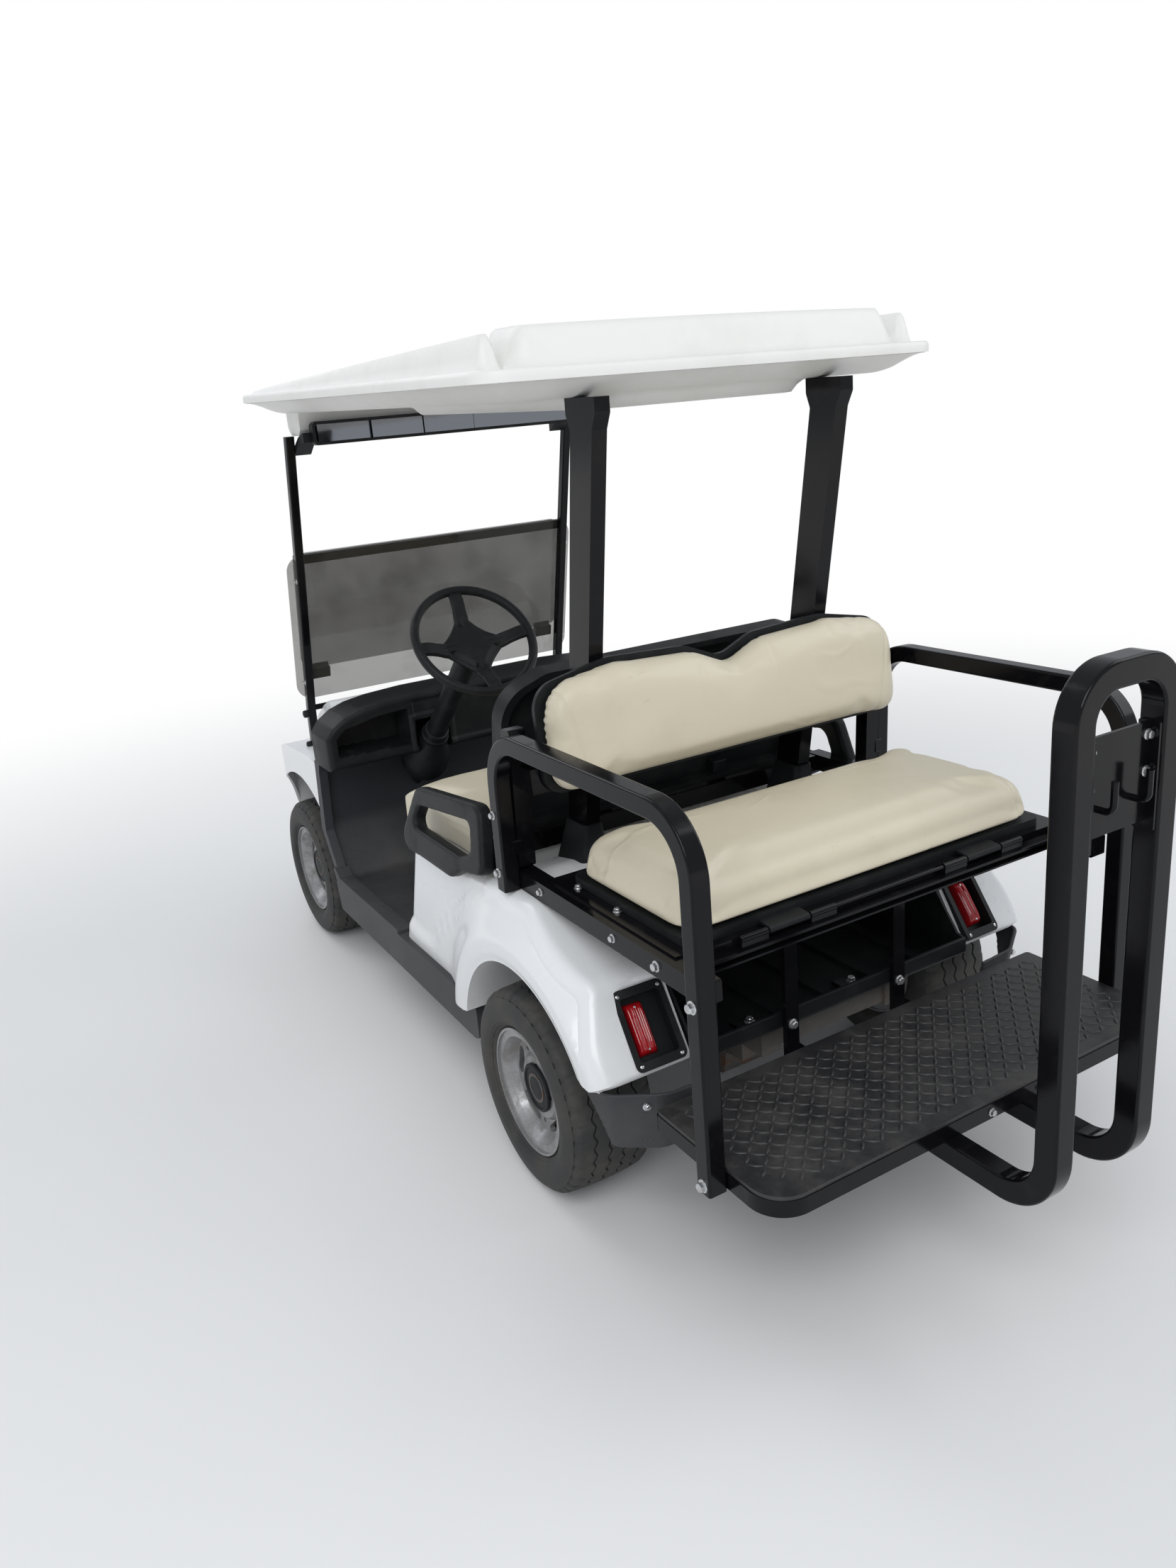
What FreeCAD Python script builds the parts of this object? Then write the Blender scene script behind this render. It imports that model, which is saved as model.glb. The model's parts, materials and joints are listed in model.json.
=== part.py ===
import FreeCAD, Part
import math
import os
from types import SimpleNamespace

import Sketcher
from FreeCAD import Placement, Rotation, Vector

# A two-seat golf cart with a rear-facing flip seat, in millimetres.
# +X is the cart's left, -Y its front and +Z is up. The origin lies on the ground under its middle.
# Places along the cart are measured from the rear axle; each piece's Placement moves it to the origin.

# Driving dimensions: alias, value, what it is.
SIZES = [
    ("wheelbase", 1640, "front axle to rear axle"),
    ("front_overhang", 378, "front axle to the front bumper's face"),
    ("rear_reach", 992, "rear axle to the rear face of the bag hook"),
    ("front_track", 880, "between the front tyres' middles"),
    ("rear_track", 980, "between the rear tyres' middles"),
    ("kingpin_span", 650, "between the kingpins"),
    ("running_gap", 0.05, "radial gap of a shaft in its bore"),
    ("seat_gap", 0.3, "gap between a soft piece and its seat"),
    ("tyre_dia", 459, "tyre outer diameter"),
    ("tyre_width", 205, "tyre section width"),
    ("tread_width", 160, "flat part of the tread"),
    ("tyre_wall", 11, "tyre sidewall thickness"),
    ("bead_dia", 254, "rim bead seat diameter"),
    ("rim_lip_dia", 284, "rim flange diameter"),
    ("rim_width", 178, "between the rim flanges' outer faces"),
    ("rim_wall", 5, "rim metal thickness"),
    ("disc_set", 34, "rim disc face, in from the outer flange"),
    ("rim_bore_dia", 66, "rim centre bore"),
    ("lug_circle", 101.6, "wheel bolt circle"),
    ("lug_hole_dia", 13, "wheel bolt hole"),
    ("slot_count", 5, "slots in the rim disc"),
    ("hub_length", 24, "hub stub past the drum face"),
    ("drum_dia", 180, "brake drum diameter"),
    ("drum_width", 48, "brake drum width"),
    ("axle_tube_dia", 64, "rear axle tube"),
    ("rail_span", 340, "between the chassis rails' middles"),
    ("rail_width", 50, "chassis rail width"),
    ("rail_height", 60, "chassis rail height"),
    ("rail_low", 226, "chassis rail underside at the floor"),
    ("rear_kick", 100, "rise of the rail over the rear axle"),
    ("front_kick", 75, "rise of the rail over the front axle"),
    ("floor_height", 292, "floor top above the ground"),
    ("panel_wall", 6, "body panel thickness"),
    ("floor_half", 548, "half the floor tub's width"),
    ("sill_width", 42, "sill width"),
    ("sill_rise", 20, "sill top above the floor"),
    ("door_front", 1316, "door opening's lower front corner ahead of the rear axle"),
    ("seat_front", 745, "rear body's front face ahead of the rear axle"),
    ("arch_radius", 292, "rear wheel arch"),
    ("front_arch_radius", 330, "front wheel arch"),
    ("peak_rise", 138.3, "rear body's top above the wheel arch"),
    ("body_half", 520, "half the rear body's width above the flare"),
    ("flare_out", 65, "rear wheel flare beyond the body's side"),
    ("cowl_half", 512, "half the front cowl's width at the dash"),
    ("well_half", 372, "half the bag well's mouth"),
    ("well_floor", 392, "bag well floor above the ground"),
    ("roof_half", 552, "half the roof's width"),
    ("roof_front", 1515, "roof front edge ahead of the rear axle"),
    ("roof_rear", 92, "roof rear edge behind the rear axle"),
    ("roof_lip_height", 1694, "roof lip top above the ground at the rear edge"),
    ("roof_tilt", 1.35, "degrees the roof rises to the front"),
    ("roof_lip", 24, "depth of the roof's edge lip"),
    ("roof_wall", 5, "roof sheet thickness"),
    ("crown_rise", 74, "crown above the lip"),
    ("strut_half", 300, "rear strut from the middle"),
    ("strut_wide", 78, "rear strut fore and aft"),
    ("strut_thick", 34, "rear strut across"),
    ("strut_foot_ahead", 165, "rear strut foot ahead of the rear axle"),
    ("boot_rise", 86.2, "strut boot's top above the rear body"),
    ("strut_top_ahead", -12, "rear strut top ahead of the rear axle"),
    ("front_strut_half", 455, "front strut from the middle"),
    ("front_strut_side", 26, "front strut tube size"),
    ("pane_half", 490, "half the windshield's width"),
    ("pane_wall", 5, "windshield thickness"),
    ("pane_height", 400, "height of each windshield pane"),
    ("wheel_rim_dia", 350, "steering wheel diameter"),
    ("wheel_grip_dia", 25, "steering wheel grip"),
    ("column_offset", 212, "steering wheel from the middle"),
    ("column_lean", 48, "degrees of the wheel's face above level"),
    ("bench_half", 500, "half the front seat's width"),
    ("restraint_wide", 36, "width of the seat's side restraint"),
    ("kit_half", 525, "arm tube's middle from the cart's middle"),
    ("tube_side", 38, "arm tube size"),
    ("tube_corner", 5, "outer corner radius of square tubes"),
    ("arm_rise", 294, "arm top rail's middle above the deck"),
    ("arm_front", -78, "arm front leg's foot from the rear axle"),
    ("arm_rear", 606, "arm rear post from the rear axle"),
    ("arm_bend", 105, "arm corner bend radius"),
    ("rail_tall", 42, "height of the rails under the deck"),
    ("deck_half", 486, "half the deck's width"),
    ("deck_front", 22, "deck front edge behind the rear axle"),
    ("deck_rear", 500, "deck rear edge behind the rear axle"),
    ("deck_wall", 4, "deck plate thickness"),
    ("cushion_half", 455, "half the rear cushion's width"),
    ("cushion_depth", 402, "rear cushion fore and aft"),
    ("cushion_thick", 108, "rear cushion height"),
    ("footrest_half", 506, "half the footrest's width"),
    ("footrest_front", 405, "footrest front edge behind the rear axle"),
    ("footrest_rear", 752, "footrest rear edge behind the rear axle"),
    ("footrest_height", 362, "footrest frame's top above the ground"),
    ("footrest_tube", 32, "footrest frame tube"),
    ("mat_wall", 8, "footrest mat thickness"),
    ("grab_half", 100, "grab bar post from the middle"),
    ("grab_rear", 958, "grab bar post's middle behind the rear axle"),
    ("grab_top", 1196, "grab bar's top middle above the ground"),
    ("grab_tube", 44, "grab bar tube size"),
]

doc = FreeCAD.newDocument("golf_cart")
sheet = doc.addObject("Spreadsheet::Sheet", "Sizes")
pieces = []


class Size:
    """A size of the cart, as a number and as the text that an expression needs."""

    def __init__(self, text, number):
        self.text = text
        self.number = number

    def __float__(self):
        return float(self.number)

    def joined(self, sign, other, number, first=True):
        mine, theirs = self.text, text_of(other)
        text = f"({mine} {sign} {theirs})" if first else f"({theirs} {sign} {mine})"
        return Size(text, number)

    def __add__(self, other):
        return self.joined("+", other, self.number + float(other))

    def __radd__(self, other):
        return self.joined("+", other, float(other) + self.number, False)

    def __sub__(self, other):
        return self.joined("-", other, self.number - float(other))

    def __rsub__(self, other):
        return self.joined("-", other, float(other) - self.number, False)

    def __mul__(self, other):
        return self.joined("*", other, self.number * float(other))

    def __rmul__(self, other):
        return self.joined("*", other, float(other) * self.number, False)

    def __truediv__(self, other):
        return self.joined("/", other, self.number / float(other))

    def __neg__(self):
        return Size(f"(0 - {self.text})", -self.number)


def text_of(value):
    return value.text if isinstance(value, Size) else f"({float(value):.6g})"


def read_sizes():
    """Fill the spreadsheet and give each of its sizes a name here."""
    named = SimpleNamespace()
    for row, (alias, value, meaning) in enumerate(SIZES, start=1):
        sheet.set(f"A{row}", meaning)
        sheet.set(f"B{row}", str(value))
        sheet.setAlias(f"B{row}", alias)
        setattr(named, alias, Size(f"Sizes.{alias}", value))
    doc.recompute()
    return named


size = read_sizes()
rear_axle_y = (size.wheelbase + size.front_overhang - size.rear_reach) / 2
wheel_height = size.tyre_dia / 2
front_axle_y = -size.wheelbase
# Heights of the rear body follow from its wheel arch: its top, the seat base, the deck and the arms.
arch_top = wheel_height + size.arch_radius
body_peak = arch_top + size.peak_rise
seat_base = body_peak - 33.8
deck_height = body_peak + 0.2 + size.rail_tall + size.deck_wall
arm_top = deck_height + size.arm_rise
flare_half = size.body_half + size.flare_out


def bind(thing, name, value):
    """Give a property a plain number, or tie it to the spreadsheet."""
    if isinstance(value, Size):
        thing.setExpression(name, value.text)
    elif "." not in name and "[" not in name:
        setattr(thing, name, value)
    else:
        thing.setExpression(name, text_of(value))


def put(thing, x=0, y=0, z=0, axis=None, angle=0):
    """Place a thing, with its position tied to the sizes."""
    turn = Rotation(Vector(*axis), float(angle)) if axis else Rotation()
    thing.Placement = Placement(Vector(float(x), float(y), float(z)), turn)
    for letter, value in (("x", x), ("y", y), ("z", z)):
        if isinstance(value, Size):
            thing.setExpression(f"Placement.Base.{letter}", value.text)
    return thing


def keep(thing, label, x=0, y=0, z=0, axis=None, angle=0):
    """Make a thing one of the cart's pieces, measured from the rear axle."""
    thing.Label = label
    put(thing, x, rear_axle_y + y, z, axis, angle)
    pieces.append(thing)
    return thing


def new_body(name):
    body = doc.addObject("PartDesign::Body", name)
    body.Label = name
    return body


def new_sketch(body, name, plane, offset=0):
    """A sketch on one of the body's own planes, moved along that plane's normal."""
    sketch = body.newObject("Sketcher::SketchObject", name)
    support = next(item for item in body.Origin.OriginFeatures if item.Role == plane + "_Plane")
    sketch.AttachmentSupport = [(support, "")]
    sketch.MapMode = "FlatFace"
    bind(sketch, "AttachmentOffset.Base.z", offset)
    return sketch


def corner_arc(flat, index, radius):
    """Where the arc at a corner starts and ends, and its centre."""
    here = flat[index]
    back = (flat[index - 1] - here).normalize()
    ahead = (flat[(index + 1) % len(flat)] - here).normalize()
    half = back.getAngle(ahead) / 2
    reach = radius / math.tan(half)
    centre = here + (back + ahead).normalize() * (radius / math.sin(half))
    return here + back * reach, here + ahead * reach, centre


def draw_runs(sketch, corners, radii=0, closed=True):
    """Straight runs through the corners, with a tangent arc at each corner that has a radius."""
    count = len(corners)
    radii = list(radii) if isinstance(radii, (list, tuple)) else [radii] * count
    if not closed:
        radii[0] = radii[-1] = 0
    flat = [Vector(float(u), float(v), 0) for u, v in corners]
    enters, leaves, centres = [], [], []
    for index in range(count):
        if float(radii[index]) > 0:
            enter, leave, centre = corner_arc(flat, index, float(radii[index]))
        else:
            enter = leave = flat[index]
            centre = None
        enters.append(enter)
        leaves.append(leave)
        centres.append(centre)
    runs = count if closed else count - 1
    for index in range(runs):
        sketch.addGeometry(Part.LineSegment(leaves[index], enters[(index + 1) % count]), False)
    rules, sized = [], []

    def sized_rule(kind, *parts_and_value):
        *parts, value = parts_and_value
        rules.append(Sketcher.Constraint(kind, *parts, float(value)))
        sized.append((len(rules) - 1, value))

    for index in range(count):
        before = (index - 1) % count if closed or index > 0 else None
        after = index if index < runs else None
        if centres[index] is None:
            edge, end = (after, 1) if after is not None else (before, 2)
            if before is not None and after is not None:
                rules.append(Sketcher.Constraint("Coincident", before, 2, after, 1))
        else:
            edge, end = add_corner_arc(sketch, rules, sized_rule, before, after,
                                       (enters[index], leaves[index], centres[index]),
                                       radii[index], flat[index])
        sized_rule("DistanceX", -1, 1, edge, end, corners[index][0])
        sized_rule("DistanceY", -1, 1, edge, end, corners[index][1])
    tie(sketch, rules, sized)
    return sketch


def add_corner_arc(sketch, rules, sized_rule, before, after, arc_points, radius, corner):
    """Round one corner of a drawn run and return the corner's own guide point."""
    enter, leave, centre = arc_points
    turns_left = (enter - centre).cross(leave - centre).z > 0
    first, last = (enter, leave) if turns_left else (leave, enter)
    angles = [math.atan2(point.y - centre.y, point.x - centre.x) for point in (first, last)]
    circle = Part.Circle(centre, Vector(0, 0, 1), float(radius))
    arc = sketch.addGeometry(Part.ArcOfCircle(circle, angles[0], angles[1]), False)
    guide = sketch.addGeometry(Part.Point(corner), True)
    enter_end, leave_end = (1, 2) if turns_left else (2, 1)
    rules.append(Sketcher.Constraint("Tangent", before, 2, arc, enter_end))
    rules.append(Sketcher.Constraint("Tangent", arc, leave_end, after, 1))
    rules.append(Sketcher.Constraint("PointOnObject", guide, 1, before))
    rules.append(Sketcher.Constraint("PointOnObject", guide, 1, after))
    sized_rule("Radius", arc, radius)
    return guide, 1


def tie(sketch, rules, sized):
    """Add the rules to a sketch and tie the sized ones to the spreadsheet."""
    first = sketch.ConstraintCount
    sketch.addConstraint(rules)
    for index, value in sized:
        if isinstance(value, Size):
            sketch.setExpression(f"Constraints[{first + index}]", value.text)


def draw_circle(sketch, centre, radius):
    circle = Part.Circle(Vector(float(centre[0]), float(centre[1]), 0), Vector(0, 0, 1), float(radius))
    edge = sketch.addGeometry(circle, False)
    rules = [Sketcher.Constraint("DistanceX", -1, 1, edge, 3, float(centre[0])),
             Sketcher.Constraint("DistanceY", -1, 1, edge, 3, float(centre[1])),
             Sketcher.Constraint("Radius", edge, float(radius))]
    tie(sketch, rules, list(enumerate((centre[0], centre[1], radius))))
    return sketch


def feature(body, kind, name, sketch, **settings):
    """A feature made from a sketch, with its settings tied to the sizes."""
    made = body.newObject("PartDesign::" + kind, name)
    made.Profile = sketch
    for key, value in settings.items():
        bind(made, key, value)
    return made


def slab(name, plane, corners, start, length, radii=0, body=None, kind="Pad"):
    """A drawn outline carried along its plane's normal from start, into a body of its own or onto another."""
    body = body or new_body(name)
    sketch = draw_runs(new_sketch(body, name + "_outline", plane, start), corners, radii)
    feature(body, kind, name + "_" + kind.lower(), sketch, Length=length, Reversed=kind == "Pocket")
    return body


def box_corners(left, right, low, high):
    return [(left, low), (right, low), (right, high), (left, high)]


def turned(name, corners, radii=0):
    """An outline of (along X, radius) corners turned about the X axis."""
    body = new_body(name)
    sketch = draw_runs(new_sketch(body, name + "_outline", "XY"), corners, radii)
    spin = feature(body, "Revolution", name + "_turn", sketch, Angle=360)
    spin.ReferenceAxis = (sketch, ["H_Axis"])
    return body


def tube(name, plane, offset, corners, bend, section_plane, side, corner=0, round_dia=None):
    """A square or round tube along straight runs joined by bends."""
    body = new_body(name)
    path = draw_runs(new_sketch(body, name + "_path", plane, offset), corners, bend, closed=False)
    u, v = corners[0]
    points = {("YZ", "XY"): (offset, u, v), ("XZ", "XY"): (u, -offset, v),
              ("XY", "XZ"): (u, offset, -v), ("XY", "YZ"): (v, offset, u),
              ("YZ", "XZ"): (offset, v, -u), ("XZ", "YZ"): (-offset, v, u)}
    middle_u, middle_v, section_at = points[(plane, section_plane)]
    section = new_sketch(body, name + "_section", section_plane, section_at)
    if round_dia is not None:
        draw_circle(section, (middle_u, middle_v), round_dia / 2)
    else:
        half = side / 2
        outline = box_corners(middle_u - half, middle_u + half, middle_v - half, middle_v + half)
        draw_runs(section, outline, corner)
    sweep = body.newObject("PartDesign::AdditivePipe", name + "_sweep")
    sweep.Profile = section
    sweep.Spine = (path, [])
    sweep.Transition = "Right corner"
    return body


def boolean(kind, name, base, tools):
    """A Part boolean of whole shapes: Cut takes the tools away, Common keeps what all share."""
    tools = list(tools)
    if kind == "Cut" and len(tools) > 1:
        joined = doc.addObject("Part::MultiFuse", name + "_tools")
        joined.Shapes = tools
        tools = [joined]
    if kind == "MultiFuse":
        made = doc.addObject("Part::MultiFuse", name)
        made.Shapes = [base] + tools
        return made
    made = doc.addObject("Part::" + kind, name)
    made.Base = base
    made.Tool = tools[0]
    return made


def mirrored(name, source):
    """The other hand of a piece, across the cart's middle plane."""
    other = doc.addObject("Part::Mirroring", name)
    other.Source = source
    other.Normal = Vector(1, 0, 0)
    return other


def pair(name, left):
    """A left piece and its mirror image, as one node of two solids."""
    both = doc.addObject("Part::Compound", name)
    both.Links = [left, mirrored(name + "_right", left)]
    return both


def cylinder(name, radius, length, x=0, y=0, z=0, axis=None, angle=0):
    made = doc.addObject("Part::Cylinder", name)
    bind(made, "Radius", radius)
    bind(made, "Height", length)
    return put(made, x, y, z, axis, angle)


def box(name, length, width, height, x=0, y=0, z=0):
    """A box that starts at x, y, z."""
    made = doc.addObject("Part::Box", name)
    for key, value in (("Length", length), ("Width", width), ("Height", height)):
        bind(made, key, value)
    return put(made, x, y, z)


def rounded_ring(corners, radius):
    """A closed wire of straight runs and arcs through corners in space."""
    edges, count = [], len(corners)
    radii = list(radius) if isinstance(radius, (list, tuple)) else [radius] * count
    arcs = []
    for index in range(count):
        here = corners[index]
        if radii[index] <= 0:
            arcs.append((here, here, None))
            continue
        back = (corners[index - 1] - here).normalize()
        ahead = (corners[(index + 1) % count] - here).normalize()
        half = back.getAngle(ahead) / 2
        reach = radii[index] / math.tan(half)
        bisector = (back + ahead).normalize()
        middle = here + bisector * (radii[index] / math.sin(half) - radii[index])
        arcs.append((here + back * reach, here + ahead * reach, middle))
    for index in range(count):
        enter, leave, middle = arcs[index]
        if middle is not None:
            edges.append(Part.Arc(enter, middle, leave).toShape())
        edges.append(Part.LineSegment(leave, arcs[(index + 1) % count][0]).toShape())
    return Part.Wire(edges)


def lofted(name, rings):
    """A solid with straight sides through rounded rings."""
    made = doc.addObject("Part::Feature", name)
    made.Shape = Part.makeLoft(rings, True, True)
    return made


def plan_ring(left_right, front, rear, front_height, rear_height, radius):
    """A rounded rectangle seen from above, that may rise to the front."""
    half = float(left_right)
    corners = [Vector(-half, float(front), float(front_height)),
               Vector(half, float(front), float(front_height)),
               Vector(half, float(rear), float(rear_height)), Vector(-half, float(rear), float(rear_height))]
    return rounded_ring(corners, radius)


# Running gear


def build_chassis():
    low, high = size.rail_low, size.rail_low + size.rail_height
    front, rear = size.front_kick, size.rear_kick
    nose = front_axle_y
    outline = [
        (nose - 200, low + front), (nose + 222, low + front), (nose + 306, low), (-430, low),
        (-290, low + rear), (330, low + rear), (330, high + rear), (-310, high + rear),
        (-450, high), (nose + 316, high), (nose + 236, high + front), (nose - 200, high + front),
    ]
    body = slab("chassis_frame", "YZ", outline, size.rail_span / 2 - size.rail_width / 2, size.rail_width)
    # Cross tubes: place along the cart, underside above the rail's underside.
    cross_tubes = [(nose - 190, front), (nose + 420, 0), (-760, 0), (-470, 0), (285, rear)]
    for number, (along, lift) in enumerate(cross_tubes):
        corners = box_corners(along, along + 40, low + lift + 8, high + lift - 8)
        slab(f"cross_tube_{number}", "YZ", corners, -size.rail_span / 2, size.rail_span, body=body)
    slab("right_rail", "YZ", outline, -size.rail_span / 2 - size.rail_width / 2, size.rail_width, body=body)
    keep(body, "chassis_frame")


# Places along a wheel's axle, out from the wheel's middle.
rim_face = size.rim_width / 2
disc_inner = rim_face - size.disc_set - 8
drum_face = disc_inner - 5
stub_radius = size.rim_bore_dia / 2 - size.running_gap
stub_tip = drum_face + size.hub_length


def build_rear_axle():
    out = size.rear_track / 2
    tube_radius, drum_radius = size.axle_tube_dia / 2, size.drum_dia / 2
    inner, face, tip = out + drum_face - size.drum_width, out + drum_face, out + stub_tip
    right_side = [(-tip, 0), (-tip, stub_radius), (-face, stub_radius), (-face, drum_radius),
                  (-inner, drum_radius),
                  (-inner, tube_radius)]
    left_side = [(inner, tube_radius), (inner, drum_radius), (face, drum_radius), (face, stub_radius),
                 (tip, stub_radius), (tip, 0)]
    body = turned("rear_axle", right_side + left_side)
    gear_case = [(-150, -70), (90, -95), (110, 60), (40, 82), (-130, 70)]
    slab("gear_case", "YZ", gear_case, -10, 130, 18, body=body)
    keep(body, "rear_axle", z=wheel_height)


def build_front_axle():
    half = size.kingpin_span / 2
    body = slab("front_axle", "XY", box_corners(-half, half, -27, 27), -24, 48, 6)
    for side, sign in (("left", 1), ("right", -1)):
        boss = new_sketch(body, f"boss_{side}", "XY", -34)
        draw_circle(boss, (half * sign, 0), 24)
        feature(body, "Pad", f"boss_{side}_pad", boss, Length=68)
    for side, sign in (("left", 1), ("right", -1)):
        bore = new_sketch(body, f"king_bore_{side}", "XY", 34)
        draw_circle(bore, (half * sign, 0), 12 + size.running_gap)
        feature(body, "Pocket", f"king_bore_{side}_pocket", bore, Length=68)
    keep(body, "front_axle", y=front_axle_y, z=wheel_height)


def build_knuckles():
    """The left knuckle about its kingpin, and its mirror image."""
    out = (size.front_track - size.kingpin_span) / 2
    drum_radius = size.drum_dia / 2
    inner, face, tip = out + drum_face - size.drum_width, out + drum_face, out + stub_tip
    outline = [(38, 0), (38, 26), (inner, 26), (inner, drum_radius), (face, drum_radius), (face, stub_radius),
               (tip, stub_radius), (tip, 0)]
    body = turned("knuckle", outline)
    slab("upright", "YZ", box_corners(-28, 28, -52, 52), 30, 16, body=body)
    for name, low in (("ear_top", 36), ("ear_bottom", -52)):
        slab(name, "XY", [(-24, -24), (40, -24), (40, 24), (-24, 24)], low, 16, [20, 0, 0, 20], body=body)
    slab("steering_arm", "XY", [(-22, 10), (4, 10), (-2, 150), (-22, 150)], -52, 14, body=body)
    pin = new_sketch(body, "kingpin", "XY", -50)
    draw_circle(pin, (0, 0), 12)
    feature(body, "Pad", "kingpin_pad", pin, Length=100)
    for label, shape, x in (("knuckle_left", body, size.kingpin_span / 2),
                            ("knuckle_right", mirrored("knuckle_mirror", body), -size.kingpin_span / 2)):
        knuckle = doc.addObject("Part::Compound", label)
        knuckle.Links = [shape]
        keep(knuckle, label, x, front_axle_y, wheel_height)


def build_springs():
    """Leaf springs with hanger blocks, from the axles up to the rails."""
    side = size.rail_span / 2 - size.rail_width / 2
    seats = [("rear_spring", 0, size.axle_tube_dia / 2, size.rail_low + size.rear_kick, 262),
             ("front_spring", front_axle_y, 24, size.rail_low + size.front_kick, 190)]
    solids = []
    for name, middle, seat, top, reach in seats:
        low = wheel_height + seat
        eye = (low + top) / 2
        outline = [(middle - reach, eye - 8), (middle - 60, low), (middle + 60, low),
                   (middle + reach, eye - 8),
                   (middle + reach, top), (middle + reach - 30, top), (middle + reach - 42, eye + 10),
                   (middle + 60, low + 16), (middle - 60, low + 16), (middle - reach + 42, eye + 10),
                   (middle - reach + 30, top), (middle - reach, top)]
        solids.append(slab(name, "YZ", outline, side, size.rail_width))
    both = doc.addObject("Part::Compound", "left_springs")
    both.Links = solids
    keep(pair("springs", both), "springs")


def build_drive_unit():
    outline = [(-625, 0), (-175, 0), (-175, 200), (-230, 293), (-560, 293), (-625, 220)]
    body = slab("drive_unit", "YZ", outline, -140, 280, [12, 12, 30, 20, 20, 30])
    keep(body, "drive_unit", z=size.rail_low + size.rail_height - 8)


def build_tyre_and_rim():
    """One tyre and one rim, with the outer face to +X; each wheel is a placed copy."""
    half, tread, outer = size.tyre_width / 2, size.tread_width / 2, size.tyre_dia / 2
    seat, flange, wall = size.bead_dia / 2, size.rim_width / 2, size.tyre_wall
    side = flange - 8
    right = [(side - 16, seat), (side, seat), (side, seat + 15), (half - 5, seat + 32), (half, seat + 56),
             (half - 7, outer - 18), (tread, outer)]
    inside = [(tread - 4, outer - wall - 2), (half - 7 - wall, outer - 24), (half - wall, seat + 56),
              (half - 6 - wall, seat + 34), (side - 12, seat + 15)]
    inside_radii = [8, 14, 20, 10, 0]
    outline = right + [(-x, r) for x, r in reversed(right)]
    outline += [(-x, r) for x, r in reversed(inside)] + inside
    radii = [0, 0, 0, 8, 20, 16, 10] + [10, 16, 20, 8, 0, 0, 0] + inside_radii[::-1] + inside_radii
    tyre = turned("tyre", outline, radii)
    lip, metal, disc = size.rim_lip_dia / 2, size.rim_wall, rim_face - size.disc_set
    hub, bore = size.lug_circle / 2 + 26, size.rim_bore_dia / 2
    outline = [(disc + 4, bore), (disc + 4, hub - 8), (disc - 4, hub), (disc, seat - 22),
               (disc + 16, seat - 14),
               (flange - 6, seat - metal - 1), (flange - 5, lip - metal), (flange, lip - metal),
               (flange, lip),
               (side, lip), (side, seat), (side - 22, seat), (side - 32, seat - 16), (-26, seat - 16),
               (-38, seat), (-side, seat), (-side, lip), (-flange, lip), (-flange, lip - metal),
               (-flange + 5, lip - metal), (-flange + 6, seat - metal - 1), (-36, seat - metal - 1),
               (-24, seat - 16 - metal), (disc - 14, seat - 16 - metal), (disc - 12, hub),
               (drum_face, hub - 8),
               (drum_face, bore)]
    rim = turned("rim", outline)
    leaf = slab("slot", "YZ", [(-50, 84), (-18, 76), (30, 84), (46, 96), (16, 100), (-30, 96)], disc - 30, 60,
                [7, 30, 14, 6, 30, 14], rim, "Pocket")
    slot = leaf.Tip
    spread(rim, "slots", slot, size.slot_count)
    vent = new_sketch(rim, "vent_hole", "YZ", disc - 30)
    draw_circle(vent, (0, -86), 5.5)
    vent = feature(rim, "Pocket", "vent_hole_pocket", vent, Length=60, Reversed=True)
    spread(rim, "vent_holes", vent, size.slot_count)
    lug = new_sketch(rim, "lug_hole", "YZ", disc - 30)
    draw_circle(lug, (size.lug_circle / 2, 0), size.lug_hole_dia / 2)
    hole = feature(rim, "Pocket", "lug_hole_pocket", lug, Length=60, Reversed=True)
    spread(rim, "lug_holes", hole, 4)
    return tyre, rim


def spread(body, name, made, count):
    """Repeat a feature round the body's X axis."""
    ring = body.newObject("PartDesign::PolarPattern", name)
    ring.Originals = [made]
    ring.Axis = (next(item for item in body.Origin.OriginFeatures if item.Role == "X_Axis"), [""])
    ring.Angle = 360
    bind(ring, "Occurrences", count)
    body.Tip = ring
    return ring


def build_wheels():
    tyre, rim = build_tyre_and_rim()
    # Wheel: place across the cart, place along it, turn that brings the face outside.
    corners = [("front_left", size.front_track / 2, front_axle_y, 0),
               ("front_right", -size.front_track / 2, front_axle_y, 180),
               ("rear_left", size.rear_track / 2, 0, 0),
               ("rear_right", -size.rear_track / 2, 0, 180)]
    for corner, x, y, angle in corners:
        for kind, master in (("tyre", tyre), ("rim", rim)):
            copy = doc.addObject("Part::Compound", f"{kind}_{corner}")
            copy.Links = [master]
            keep(copy, f"{kind}_{corner}", x, y, wheel_height, (0, 0, 1), angle)


# Body


def toe_block():
    """Everything ahead of the toe board's inner face, to trim what stands on it."""
    floor, front = size.floor_height, -size.door_front
    return slab("ahead_of_toe", "YZ", [(front + 11, floor), (front - 84, floor + 148),
                                       (front - 54, floor + 346),
                                       (front - 300, floor + 346), (front - 300, floor)], -400, 800,
                [0, 60, 0, 0, 0])


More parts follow.
